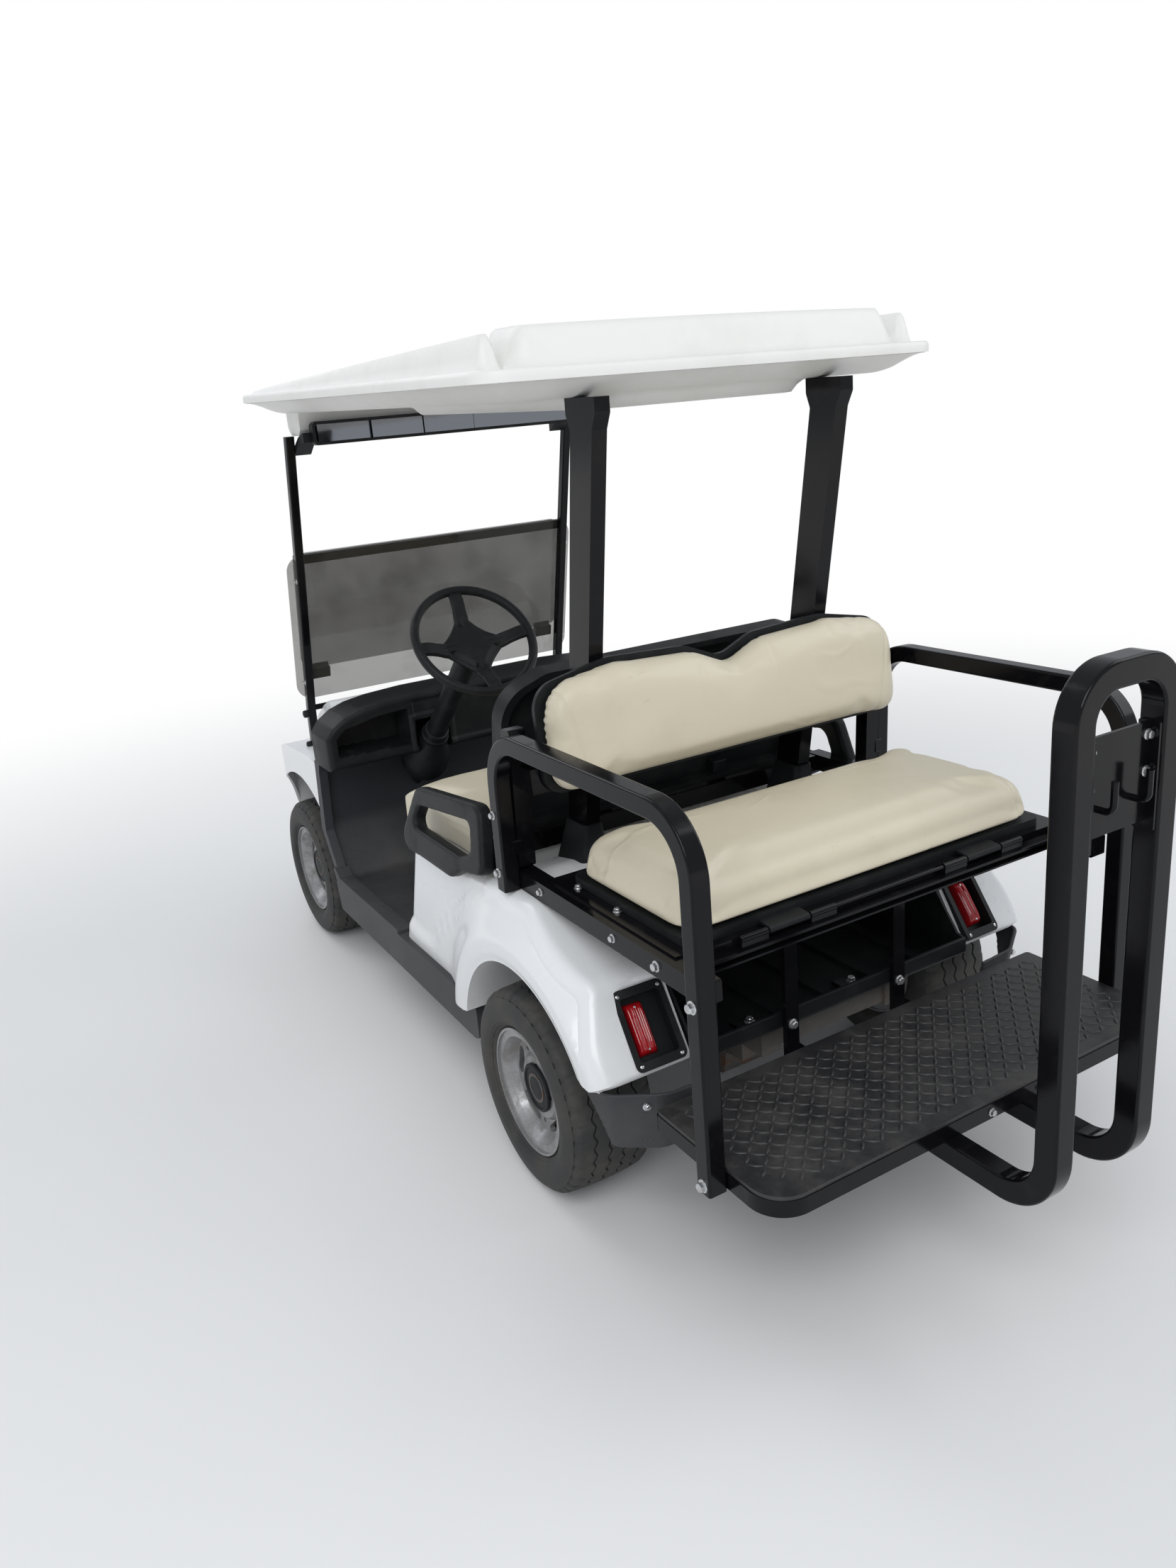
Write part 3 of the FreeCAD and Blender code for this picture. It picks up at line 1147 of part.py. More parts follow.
def build_rear_deck():
    half, wall, top = size.deck_half, size.deck_wall, deck_height
    front, rear = size.deck_front, size.deck_rear
    body = slab("rear_deck", "XY", box_corners(-half, half, front, rear - 22), top - wall, wall)
    lip = [(rear - 22, top), (rear - 22, top - wall), (rear - 26, top - 40), (rear + 6, top - 40),
           (rear + 6, top - 36), (rear - 16, top - 36), (rear - 14, top - 24), (rear + 8, top - 24),
           (rear + 8, top - 18), (rear - 14, top - 16), (rear - 14, top)]
    slab("hinge_rail", "YZ", lip, -half + 20.3, half * 2 - 40.6, body=body)
    # Hinge knuckles: from and to, across the deck.
    for number, (left, right) in enumerate([(-360, -300), (-200, -140), (140, 200), (300, 360)]):
        eye = new_sketch(body, f"hinge_eye_{number}", "YZ", left)
        draw_circle(eye, (hinge_y, hinge_z), 7)
        feature(body, "Pad", f"hinge_eye_{number}_pad", eye, Length=right - left)
        slab(f"hinge_foot_{number}", "YZ", box_corners(hinge_y - 10, hinge_y + 6, top - 18, top - 2), left,
             right - left, body=body)
    pin_at = -360
    pin = new_sketch(body, "hinge_pin", "YZ", pin_at)
    draw_circle(pin, (hinge_y, hinge_z), 4)
    feature(body, "Pad", "hinge_pin_pad", pin, Length=720)
    keep(body, "rear_deck")


def build_rear_cushion():
    half, deep, thick = size.cushion_half, size.cushion_depth, size.cushion_thick
    low, front = deck_height + size.seat_gap, 66
    board = slab("rear_cushion_board", "XY", box_corners(-half, half, front, front + deep), low, 17, 20)
    for number, (left, right) in enumerate([(-296, -204), (204, 296)]):
        leaf = [(front + deep - 40, low), (hinge_y, low + 2), (hinge_y, hinge_z + 7),
                (front + deep - 40, low + 12)]
        slab(f"leaf_{number}", "YZ", leaf, left, right - left, body=board)
        eye = new_sketch(board, f"leaf_eye_{number}", "YZ", left)
        draw_circle(eye, (hinge_y, hinge_z), 7)
        feature(board, "Pad", f"leaf_eye_{number}_pad", eye, Length=right - left)
        bore = new_sketch(board, f"leaf_bore_{number}", "YZ", right)
        draw_circle(bore, (hinge_y, hinge_z), 4 + size.running_gap)
        feature(board, "Pocket", f"leaf_bore_{number}_pocket", bore, Length=right - left)
    keep(board, "rear_cushion_board")
    cushion = slab("rear_seat_cushion", "XY", box_corners(-half, half, front + 2, front + deep), low + 17,
                   thick - 26, 62)
    crown = box_corners(-half + 22, half - 22, front + 24, front + deep - 22)
    slab("cushion_crown", "XY", crown, low + thick - 10, 22, 56, cushion)
    keep(cushion, "rear_seat_cushion")


BACK_LINE = [(-470, 20), (-470, 250), (-290, 286), (-90, 276), (0, 238), (90, 276), (290, 286), (470, 250),
             (470, 20)]


def build_rear_seat_back():
    radii = [44, 60, 90, 60, 60, 60, 90, 60, 44]
    cushion = slab("rear_seat_back", "XZ", BACK_LINE, -46, 46, radii)
    inner = [(x * 0.955, 140 + (z - 140) * 0.88) for x, z in BACK_LINE]
    slab("back_front_crown", "XZ", inner, -70, 24.2, [34, 50, 80, 50, 50, 50, 80, 50, 34], cushion)
    keep(cushion, "rear_seat_back", 0, 8, deck_height + 144, (1, 0, 0), 5.5)
    board = slab("rear_back_board", "XZ", [(x * 0.985, 140 + (z - 140) * 0.96) for x, z in BACK_LINE], 0.3,
                 12,
                 radii)
    keep(board, "rear_back_board", 0, 8, deck_height + 144, (1, 0, 0), 5.5)


def build_footrest():
    half, front, rear, side = size.footrest_half, size.footrest_front, size.footrest_rear, size.footrest_tube
    low = size.footrest_height - side
    outer = slab("footrest_frame", "XY", box_corners(-half, half, front, rear), low, side, [8, 8, 70, 70])
    slab("frame_hole", "XY", box_corners(-half + side, half - side, front + side, rear - side), low + side,
         side,
         [4, 4, 44, 44], outer, "Pocket")
    for number, x in enumerate((-162, 130)):
        slab(f"frame_rib_{number}", "XY", box_corners(x, x + 32, front + 10, rear - 10), low, side,
             body=outer)
        under = deck_height - size.deck_wall
        foot = [(359, low), (front + 10, low), (front + 10, low + 26), (371, low + 26), (371, under),
                (359, under)]
        slab(f"deck_strap_{number}", "YZ", foot, x, 32, body=outer)
    keep(outer, "footrest_frame")
    mat = slab("footrest_mat", "XY", box_corners(-half + 2, half - 2, front + 2, rear - 2), low + side,
               size.mat_wall, [8, 8, 66, 66])
    keep(mat, "footrest_mat")


def build_grab_bar():
    out, back, side, corner = size.grab_half, size.grab_rear, size.grab_tube, size.tube_corner
    run = size.footrest_height - size.footrest_tube - side / 2
    top = size.grab_top
    path = [(500, run), (back, run), (back, top - 196)]
    leg = tube("grab_leg", "YZ", out, path, 92, "XZ", side, corner)
    arch = tube("grab_arch", "XZ", -back, [(-out, top - 196), (-out, top), (out, top), (out, top - 196)],
                70, "XY", side, corner)
    joined = boolean("MultiFuse", "grab_bar", leg, [mirrored("grab_leg_right", leg), arch])
    keep(joined, "grab_bar")
    inner = out - side / 2
    plate = slab("plate_body", "XZ", box_corners(-inner, inner, top - 250, top - 92), -back - 3, 6, 3)
    for name, x in (("left_ear", inner - 6), ("right_ear", -inner)):
        slab(name, "YZ", box_corners(back - 18, back + 18, top - 266, top - 92), x, 6, 3, plate)
    reach = size.rear_reach - 5.5
    rod = tube("bag_hook", "YZ", 40, [(back + 3, top - 206), (reach, top - 206), (reach, top - 156)], 14,
               "XZ", 11,
               round_dia=Size("11", 11))
    hooks = boolean("MultiFuse", "bag_plate", plate, [rod, mirrored("bag_hook_right", rod)])
    keep(hooks, "bag_plate")


def build_all():
    build_chassis()
    build_rear_axle()
    build_front_axle()
    build_knuckles()
    build_springs()
    build_drive_unit()
    build_wheels()
    build_floor_tub()
    build_front_cowl()
    build_front_bumper()
    build_head_lamps()
    build_dash()
    build_rear_body()
    build_tail_lamps()
    build_rear_bumper()
    build_bag_well()
    build_roof()
    build_rear_struts()
    build_front_struts()
    build_windshield()
    build_mirror()
    build_steering()
    build_pedals()
    build_front_seat()
    build_hip_restraints()
    build_rear_arms()
    build_rear_seat_rails()
    build_rear_deck()
    build_rear_cushion()
    build_rear_seat_back()
    build_footrest()
    build_grab_bar()


def check_all():
    """Refuse to write anything while an object is broken."""
    doc.recompute()
    for thing in doc.Objects:
        assert not {"Invalid", "Error"} & set(thing.State), f"{thing.Name} is in state {thing.State}"
    for piece in pieces:
        shape = piece.Shape
        assert not shape.isNull() and shape.isValid(), f"{piece.Label} has no valid shape"
        assert shape.Volume > 0, f"{piece.Label} has no volume"


def write_all():
    os.makedirs("parts", exist_ok=True)
    for piece in pieces:
        piece.Shape.exportStep(f"parts/{piece.Label}.step")


build_all()
check_all()
write_all()
print(len(pieces), "pieces written")
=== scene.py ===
import json
import math

import bmesh
import bpy
from mathutils import Matrix, Vector


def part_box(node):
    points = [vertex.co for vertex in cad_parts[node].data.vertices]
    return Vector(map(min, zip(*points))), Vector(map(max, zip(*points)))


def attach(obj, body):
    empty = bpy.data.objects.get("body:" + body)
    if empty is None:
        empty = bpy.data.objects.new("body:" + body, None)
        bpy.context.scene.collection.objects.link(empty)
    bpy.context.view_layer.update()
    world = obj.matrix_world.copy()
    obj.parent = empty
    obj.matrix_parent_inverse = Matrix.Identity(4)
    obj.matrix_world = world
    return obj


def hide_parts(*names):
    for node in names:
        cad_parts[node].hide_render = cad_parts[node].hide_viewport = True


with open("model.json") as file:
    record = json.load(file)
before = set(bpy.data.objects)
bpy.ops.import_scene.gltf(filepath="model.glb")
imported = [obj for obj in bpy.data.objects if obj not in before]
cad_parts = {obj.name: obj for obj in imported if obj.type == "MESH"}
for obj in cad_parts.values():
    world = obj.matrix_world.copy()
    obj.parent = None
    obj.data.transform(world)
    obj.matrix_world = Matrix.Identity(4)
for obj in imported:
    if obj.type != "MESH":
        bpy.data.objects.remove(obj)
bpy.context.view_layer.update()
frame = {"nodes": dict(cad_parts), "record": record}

# Metres, as in the frame: +X is the cart's left, -Y its front, +Z up.
REAR_AXLE = 0.513


# Shader maths


class Wire:
    """A shader value that can be added, multiplied and compared like a number."""

    def __init__(self, shade, socket):
        self.shade = shade
        self.socket = socket

    def maths(self, operation, first, second=None):
        values = {0: first} if second is None else {0: first, 1: second}
        return self.shade.node("ShaderNodeMath", {"operation": operation}, values)

    def __add__(self, other):
        return self.maths("ADD", self, other)

    def __radd__(self, other):
        return self.maths("ADD", other, self)

    def __sub__(self, other):
        return self.maths("SUBTRACT", self, other)

    def __rsub__(self, other):
        return self.maths("SUBTRACT", other, self)

    def __mul__(self, other):
        return self.maths("MULTIPLY", self, other)

    def __rmul__(self, other):
        return self.maths("MULTIPLY", other, self)

    def __pow__(self, other):
        return self.maths("POWER", self, other)

    def abs(self):
        return self.maths("ABSOLUTE", self)

    def largest(self, other):
        return self.maths("MAXIMUM", self, other)

    def band(self, low, high):
        """0 at low and 1 at high, held between them."""
        settings = {"clamp": True, "interpolation_type": "SMOOTHSTEP"}
        values = {"Value": self, "From Min": low, "From Max": high}
        return self.shade.node("ShaderNodeMapRange", settings, values, "Result")


class Nodes:
    """A node tree whose nodes are made and wired by one method."""

    def __init__(self, tree):
        self.tree = tree

    def node(self, kind, settings=None, values=None, output=0):
        made = self.tree.nodes.new(kind)
        for key, value in (settings or {}).items():
            setattr(made, key, value)
        for key, value in (values or {}).items():
            self.feed(made.inputs[key], value)
        return Wire(self, made.outputs[output])

    def feed(self, target, value):
        if isinstance(value, Wire):
            self.tree.links.new(value.socket, target)
        else:
            target.default_value = value


class Shade(Nodes):
    """A material with one Principled shader, wired by expressions."""

    def __init__(self, name, colour, roughness=0.5, metallic=0.0, **fixed):
        self.material = bpy.data.materials.new(name)
        self.material.use_nodes = True
        super().__init__(self.material.node_tree)
        self.shader = self.tree.nodes["Principled BSDF"]
        self.set("Base Color", (*colour, 1.0))
        self.set("Roughness", roughness)
        self.set("Metallic", metallic)
        for key, value in fixed.items():
            self.set(key.replace("_", " "), value)
        self.height = None

    def set(self, name, value):
        self.feed(self.shader.inputs[name], value)

    def place(self):
        return self.node("ShaderNodeTexCoord", output="Object")

    def axes(self):
        split = self.node("ShaderNodeSeparateXYZ", None, {0: self.place()})
        return [Wire(self, split.socket.node.outputs[index]) for index in range(3)]

    def stretched(self, x=1.0, y=1.0, z=1.0):
        return self.node("ShaderNodeVectorMath", {"operation": "MULTIPLY"}, {0: self.place(), 1: (x, y, z)})

    def noise(self, scale, detail=3.0, roughness=0.55, at=None):
        values = {"Vector": at or self.place(), "Scale": scale, "Detail": detail, "Roughness": roughness}
        return self.node("ShaderNodeTexNoise", None, values)

    def cells(self, scale, feature="DISTANCE_TO_EDGE"):
        values = {"Vector": self.place(), "Scale": scale}
        return self.node("ShaderNodeTexVoronoi", {"feature": feature}, values)

    def mix(self, amount, first, second):
        pick = {"data_type": "RGBA", "blend_type": "MIX"}
        colours = [(*value, 1.0) if isinstance(value, tuple) else value for value in (first, second)]
        return self.node("ShaderNodeMix", pick, {0: amount, 6: colours[0], 7: colours[1]}, 2)

    def bump(self, height, distance, strength=1.0):
        """Raise the surface by a height map, on top of what is there already."""
        values = {"Height": height, "Distance": distance, "Strength": strength}
        if self.height is not None:
            values["Normal"] = self.height
        self.height = self.node("ShaderNodeBump", None, values)
        self.set("Normal", self.height)

    def dusty(self, base, dust, top, amount=0.6, scale=7.0):
        """Dust that thins out upwards to the height top."""
        height = self.axes()[2]
        low = 1 - height.band(top * 0.2, top)
        patches = self.noise(scale, 5.0, 0.65).band(0.35, 0.72)
        specks = self.noise(260.0, 2.0).band(0.56, 0.7)
        film = (low * (0.35 + 0.65 * patches) * amount).largest(low * specks * amount)
        self.set("Base Color", self.mix(film, base, dust))
        return film


DUST = (0.30, 0.27, 0.235)


def shell_paint():
    shade = Shade("shell_paint", (0.80, 0.81, 0.82), 0.26, Coat_Weight=0.35, Coat_Roughness=0.08)
    film = shade.dusty((0.80, 0.81, 0.82), DUST, 0.55, 0.4)
    shade.set("Roughness", 0.22 + 0.12 * shade.noise(9.0) + 0.35 * film)
    shade.bump(shade.noise(380.0, 2.0), 0.0002, 0.25)
    return shade.material


def roof_plastic():
    shade = Shade("roof_plastic", (0.76, 0.76, 0.74), 0.46)
    stain = shade.noise(3.2, 6.0, 0.7).band(0.42, 0.8)
    streaks = shade.noise(18.0, 4.0, 0.6, shade.stretched(1.0, 1.0, 0.12)).band(0.5, 0.8)
    film = (0.3 * stain).largest(0.35 * streaks * stain)
    shade.set("Base Color", shade.mix(film, (0.76, 0.76, 0.74), (0.52, 0.51, 0.46)))
    shade.set("Roughness", 0.40 + 0.15 * shade.noise(30.0))
    shade.bump(shade.noise(900.0, 2.0), 0.0003, 0.4)
    return shade.material


def worn(name, clean, dirty, amount, spread, roughness, metallic=0.0, **fixed):
    """A finish under a patchy film: spread is the film's noise and its band, and roughness says where the
    finish starts and what the film adds."""
    *noise, low, high = spread
    shade = Shade(name, clean, roughness[0], metallic, **fixed)
    film = shade.noise(*noise).band(low, high)
    shade.set("Base Color", shade.mix(amount * film, clean, dirty))
    shade.set("Roughness", roughness[0] + roughness[1] * film)
    return shade, film


def black_plastic():
    shade, _ = worn("black_plastic", (0.009, 0.010, 0.011), (0.045, 0.045, 0.044), 0.3,
                    (14.0, 5.0, 0.6, 0.45, 0.8), (0.42, 0.2), Specular_IOR_Level=0.2)
    shade.bump(shade.cells(1300.0, "F1"), 0.0003, 0.35)
    return shade.material


def grey_plastic():
    shade = Shade("grey_plastic", (0.030, 0.033, 0.038), 0.6, Specular_IOR_Level=0.3)
    film = shade.dusty((0.027, 0.030, 0.036), DUST, 0.62, 0.2, 5.0)
    shade.set("Roughness", 0.5 + 0.3 * film)
    shade.bump(shade.cells(900.0, "F1"), 0.0005, 0.5)
    return shade.material


def powder_coat():
    shade, _ = worn("powder_coat", (0.004, 0.004, 0.005), (0.05, 0.047, 0.043), 0.12,
                    (22.0, 5.0, 0.6, 0.52, 0.85), (0.13, 0.2), Specular_IOR_Level=0.2)
    shade.bump(shade.noise(620.0, 2.0), 0.0001, 0.3)
    return shade.material


def chassis_paint():
    shade = Shade("chassis_paint", (0.03, 0.03, 0.032), 0.6)
    film = shade.dusty((0.025, 0.025, 0.026), (0.16, 0.13, 0.10), 0.6, 0.7, 9.0)
    shade.set("Roughness", 0.5 + 0.35 * film)
    shade.bump(shade.noise(160.0, 3.0), 0.0005, 0.4)
    return shade.material


def bare_iron():
    shade = Shade("bare_iron", (0.12, 0.11, 0.10), 0.6, 0.7)
    rust = shade.noise(34.0, 6.0, 0.7).band(0.42, 0.68)
    shade.set("Base Color", shade.mix(rust, (0.13, 0.125, 0.12), (0.12, 0.055, 0.025)))
    shade.set("Metallic", 0.75 - 0.6 * rust)
    shade.set("Roughness", 0.48 + 0.35 * rust)
    shade.bump(shade.noise(240.0, 4.0), 0.0008, 0.5)
    return shade.material


def seat_vinyl():
    shade = Shade("seat_vinyl", (0.62, 0.56, 0.43), 0.34)
    soil = shade.noise(4.5, 6.0, 0.65).band(0.45, 0.85)
    scuffs = shade.noise(26.0, 6.0, 0.75, shade.stretched(0.35, 1.0, 1.0)).band(0.62, 0.72)
    film = (0.35 * soil).largest(0.3 * scuffs)
    shade.set("Base Color", shade.mix(film, (0.63, 0.575, 0.445), (0.44, 0.38, 0.28)))
    shade.set("Roughness", 0.27 + 0.14 * shade.noise(40.0) + 0.08 * soil)
    folds = (shade.noise(3.6, 2.0, 0.5, shade.stretched(1.0, 1.6, 1.0)) - 0.5).abs()
    folds = 1 - folds.band(0.0, 0.035)
    folds = folds * shade.noise(2.1, 2.0).band(0.48, 0.62)
    shade.bump(folds, 0.0022, 0.5)
    shade.bump(shade.noise(9.0, 3.0, 0.5), 0.005, 0.3)
    shade.bump(shade.cells(520.0).band(0.0, 0.18), 0.0002, 0.35)
    return shade.material


def zinc_plate():
    shade, _ = worn("zinc_plate", (0.62, 0.63, 0.64), (0.30, 0.28, 0.25), 0.6, (90.0, 4.0, 0.45, 0.75),
                    (0.22, 0.3), metallic=0.9)
    return shade.material


def tyre_rubber():
    shade, _ = worn("tyre_rubber", (0.022, 0.022, 0.022), (0.11, 0.10, 0.088), 0.5,
                    (11.0, 6.0, 0.65, 0.38, 0.75), (0.62, 0.25))
    shade.bump(shade.noise(420.0, 3.0), 0.0004, 0.4)
    return shade.material


def wheel_silver():
    shade, film = worn("wheel_silver", (0.36, 0.36, 0.37), (0.13, 0.12, 0.105), 0.65,
                       (16.0, 6.0, 0.7, 0.35, 0.7), (0.32, 0.35))
    shade.set("Metallic", 0.8 - 0.5 * film)
    shade.bump(shade.noise(500.0, 2.0), 0.0002, 0.3)
    return shade.material


def smoked_sheet():
    shade = Shade("smoked_sheet", (0.055, 0.052, 0.042), 0.06, Alpha=0.5)
    film = shade.noise(5.0, 6.0, 0.7).band(0.4, 0.8)
    shade.set("Roughness", 0.04 + 0.18 * film)
    shade.set("Alpha", 0.45 + 0.12 * film)
    return shade.material


def mirror_face():
    shade = Shade("mirror_face", (0.30, 0.31, 0.33), 0.03, 1.0)
    shade.set("Roughness", 0.02 + 0.06 * shade.noise(30.0, 4.0))
    return shade.material


def red_lens():
    shade = Shade("red_lens", (0.42, 0.008, 0.012), 0.12, Coat_Weight=0.6, Coat_Roughness=0.04)
    glow = shade.noise(60.0, 3.0)
    shade.set("Base Color", shade.mix(glow, (0.46, 0.010, 0.014), (0.26, 0.004, 0.008)))
    return shade.material


def clear_lens():
    shade = Shade("clear_lens", (0.75, 0.78, 0.80), 0.08, Coat_Weight=0.5)
    shade.set("Roughness", 0.05 + 0.1 * shade.noise(50.0))
    return shade.material


def mat_rubber():
    shade, _ = worn("mat_rubber", (0.022, 0.022, 0.024), (0.095, 0.09, 0.08), 0.45,
                    (10.0, 6.0, 0.7, 0.35, 0.75), (0.38, 0.3))
    shade.bump(shade.noise(700.0, 3.0), 0.0003, 0.4)
    return shade.material


FINISHES = {
    "white_shell": shell_paint(), "roof_plastic": roof_plastic(), "black_plastic": black_plastic(),
    "grey_plastic": grey_plastic(), "black_metal": powder_coat(), "chassis_metal": chassis_paint(),
    "cast_parts": bare_iron(), "vinyl": seat_vinyl(), "tyre": tyre_rubber(), "rim_metal": wheel_silver(),
    "smoked_pane": smoked_sheet(), "mirror_pane": mirror_face(), "red_lens": red_lens(),
    "clear_lens": clear_lens(), "mat_rubber": mat_rubber(), "zinc": zinc_plate(),
}
for part in frame["record"]["subparts"]:
    holder = frame["nodes"][part["node"]]
    holder.data.materials.clear()
    holder.data.materials.append(FINISHES[part["material_slot"]])


# Mesh helpers


def new_piece(name, form, finish, body="cart", stands_for=(), angle=40):
    """A mesh object that rides on a body; edges sharper than the angle stay sharp."""
    mesh = bpy.data.meshes.new(name)
    mesh.from_pydata([tuple(point) for point in form[0]], [], form[1])
    mesh.validate()
    return add_object(name, mesh, finish, body, stands_for, angle)


def add_object(name, mesh, finish, body="cart", stands_for=(), angle=40):
    mesh.materials.clear()
    mesh.materials.append(FINISHES[finish])
    shaper = bmesh.new()
    shaper.from_mesh(mesh)
    bmesh.ops.recalc_face_normals(shaper, faces=shaper.faces)
    shaper.to_mesh(mesh)
    shaper.free()
    mesh.shade_smooth()
    mesh.set_sharp_from_angle(angle=math.radians(angle))
    piece = bpy.data.objects.new(name, mesh)
    bpy.context.scene.collection.objects.link(piece)
    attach(piece, body)
    if stands_for:
        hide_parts(*stands_for)
    return piece


def looped_faces(steps, count):
    """Faces of closed sections of count points, carried round in steps."""
    faces = []
    for step in range(steps):
        here, there = step * count, (step + 1) % steps * count
        for row in range(count):
            after = (row + 1) % count
            faces.append((here + row, there + row, there + after, here + after))
    return faces


def turned_rows(rows, steps, sway, beats):
    """A closed section of (along X, radius, follows the zigzag) rows, carried round the X axis."""
    verts = []
    for step in range(steps):
        turn = 2 * math.pi * step / steps
        shift = sway * (4 * abs(step / beats % 1 - 0.5) - 1)
        for along, radius, follows in rows:
            verts.append((along + shift * follows, radius * math.sin(turn), radius * math.cos(turn)))
    return verts, looped_faces(steps, len(rows))


def moved(form, matrix):
    return [matrix @ Vector(point) for point in form[0]], form[1]


def gather(parts):
    """Several (verts, faces) forms as one."""
    verts, faces = [], []
    for more_verts, more_faces in parts:
        start = len(verts)
        verts += list(more_verts)
        faces += [tuple(start + index for index in face) for face in more_faces]
    return verts, faces


def ring_band(first, second):
    count = len(first)
    return [(first[index], second[index], second[(index + 1) % count], first[(index + 1) % count])
            for index in range(count)]


def rings_form(rings):
    """Closed rings of equal length joined one to the next, with the two ends filled."""
    verts = [point for ring in rings for point in ring]
    count = len(rings[0])
    faces = []
    for level in range(len(rings) - 1):
        low, high = level * count, (level + 1) * count
        for index in range(count):
            after = (index + 1) % count
            faces.append((low + index, low + after, high + after, high + index))
    faces.append(tuple(range(count))[::-1])
    faces.append(tuple(range(len(verts) - count, len(verts))))
    return verts, faces


def grid_faces(wide, tall):
    """Faces of a grid of wide by tall points, and the points of its border in order."""
    faces = [(first, first + 1, first + wide + 1, first + wide)
             for row in range(tall - 1) for first in range(row * wide, row * wide + wide - 1)]
    border = list(range(wide)) + [row * wide + wide - 1 for row in range(1, tall)]
    border += [(tall - 1) * wide + column for column in range(wide - 2, -1, -1)]
    border += [row * wide for row in range(tall - 2, 0, -1)]
    return faces, border


def circle_ring(radius, height, steps, corners=None):
    """A ring in the XY plane; with corners given it is a regular shape across its flats."""
    ring = []
    for index in range(steps):
        turn = 2 * math.pi * index / steps
        reach = radius
        if corners:
            wedge = 2 * math.pi / corners
            reach = radius / math.cos((turn + wedge / 2) % wedge - wedge / 2)
        ring.append((reach * math.cos(turn), reach * math.sin(turn), height))
    return ring


def revolved(profile, steps):
    """A profile of (radius, height) points turned about the Z axis."""
    return rings_form([circle_ring(radius, height, steps) for radius, height in profile])


# Seat cushions


def inset_line(outline, inset):
    """A closed outline's points moved in, square to its runs."""
    count = len(outline)
    line = []
    for index, here in enumerate(outline):
        run = outline[(index + 1) % count] - outline[index - 1]
        line.append(here + Vector((-run.y, run.x)).normalized() * inset)
    return line


def stuffed_form(corners, thick, edge, crown):
    """A block over an outline, with a wide rounded edge and a crowned face, thick along its last axis."""
    outline = rounded_outline(corners, 10)
    middle = sum(outline, Vector((0.0, 0.0))) / len(outline)
    steps = [(0.005, 0.0), (0.0, 0.005)]
    steps += [(edge * (1 - math.cos(turn)), thick - edge + edge * math.sin(turn))
              for turn in (math.pi / 2 * index / 8 for index in range(9))]
    rings = [[(*point, height) for point in inset_line(outline, inset)] for inset, height in steps]
    inner = inset_line(outline, edge)
    for share in (0.93, 0.84, 0.72, 0.58, 0.42, 0.25, 0.1):
        height = thick + crown * (1 - share ** 2)
        rings.append([(*(middle + (point - middle) * share), height) for point in inner])
    return rings_form(rings)


def remeshed(name, mesh, voxel, rounding):
    """An object with an even grid of small faces and its edges softened by modifiers."""
    piece = bpy.data.objects.new(name, mesh)
    bpy.context.scene.collection.objects.link(piece)
    grid = piece.modifiers.new("grid", "REMESH")
    grid.mode = "VOXEL"
    grid.voxel_size = voxel
    soften = piece.modifiers.new("soften", "SMOOTH")
    soften.factor = 0.5
    soften.iterations = rounding
    return piece


def puffed(name, node, form=None, trim=0.006, voxel=0.0088, rounding=5, cap=0.012, held=None, seams=None,
           body="cart"):
    """A stuffed cushion, blown up by cloth pressure; points that held() picks stay where they rest."""
    scene = bpy.context.scene
    if form:
        start = bpy.data.meshes.new(name + "_start")
        start.from_pydata([tuple(point) for point in form[0]], [], form[1])
    else:
        start = frame["nodes"][node].data.copy()
    piece = remeshed(name, start, voxel, rounding)
    shrink = piece.modifiers.new("shrink", "DISPLACE")
    shrink.mid_level = 0.0
    shrink.strength = -trim
    mesh = baked(piece)
    piece.modifiers.clear()
    piece.data = mesh
    before = [vertex.co.copy() for vertex in mesh.vertices]
    cloth = piece.modifiers.new("stuffing", "CLOTH")
    cloth.settings.use_pressure = True
    cloth.settings.uniform_pressure_force = 4.0
    cloth.settings.effector_weights.gravity = 0.0
    if held:
        group = piece.vertex_groups.new(name="held")
        group.add([vertex.index for vertex in mesh.vertices if held(vertex.co)], 1.0, "REPLACE")
        cloth.settings.vertex_group_mass = "held"
    for number in range(1, 21):
        scene.frame_set(number)
    blown = baked(piece)
    piece.modifiers.clear()
    scene.frame_set(1)
    for vertex, old, new in zip(mesh.vertices, before, blown.vertices):
        shift = new.co - old
        vertex.co = old + shift * min(1.0, cap / max(shift.length, 1e-6))
    bpy.data.meshes.remove(blown)
    finer = piece.modifiers.new("finer", "SUBSURF")
    finer.levels = finer.render_levels = 1
    mesh = baked(piece)
    bpy.data.objects.remove(piece)
    mesh.name = name
    if seams:
        normals = [vertex.normal.copy() for vertex in mesh.vertices]
        for vertex, normal in zip(mesh.vertices, normals):
            vertex.co -= normal * seams(vertex.co)
    cushion = add_object(name, mesh, "vinyl", body, (node,), angle=180)
    return cushion


def baked(piece):
    """The piece's mesh with its modifiers worked in."""
    bpy.context.view_layer.update()
    seen = piece.evaluated_get(bpy.context.evaluated_depsgraph_get())
    return bpy.data.meshes.new_from_object(seen)


def pinch(distance, depth, width):
    """How deep a seam draws the cover in, at a distance from it."""
    return depth * math.exp(-(distance / width) ** 2)


BENCH_BOX, BACK_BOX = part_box("rear_seat_cushion"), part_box("rear_seat_back")
# How much of a cushion's foot is pressed on its board.
REST_DEPTH = 0.014


def bench_seams(point):
    """Side seams of the rear bench, which fade out over its top."""
    high = BENCH_BOX[1]
    seam_at, splay, fades_at, fades_over = 0.398, 0.03, high.y - 0.12, 0.06
    fade = 1 - ease((fades_at - point.y) / fades_over)
    return pinch(abs(point.x) - seam_at - splay * (high.z - point.z), 0.002, 0.0045) * fade


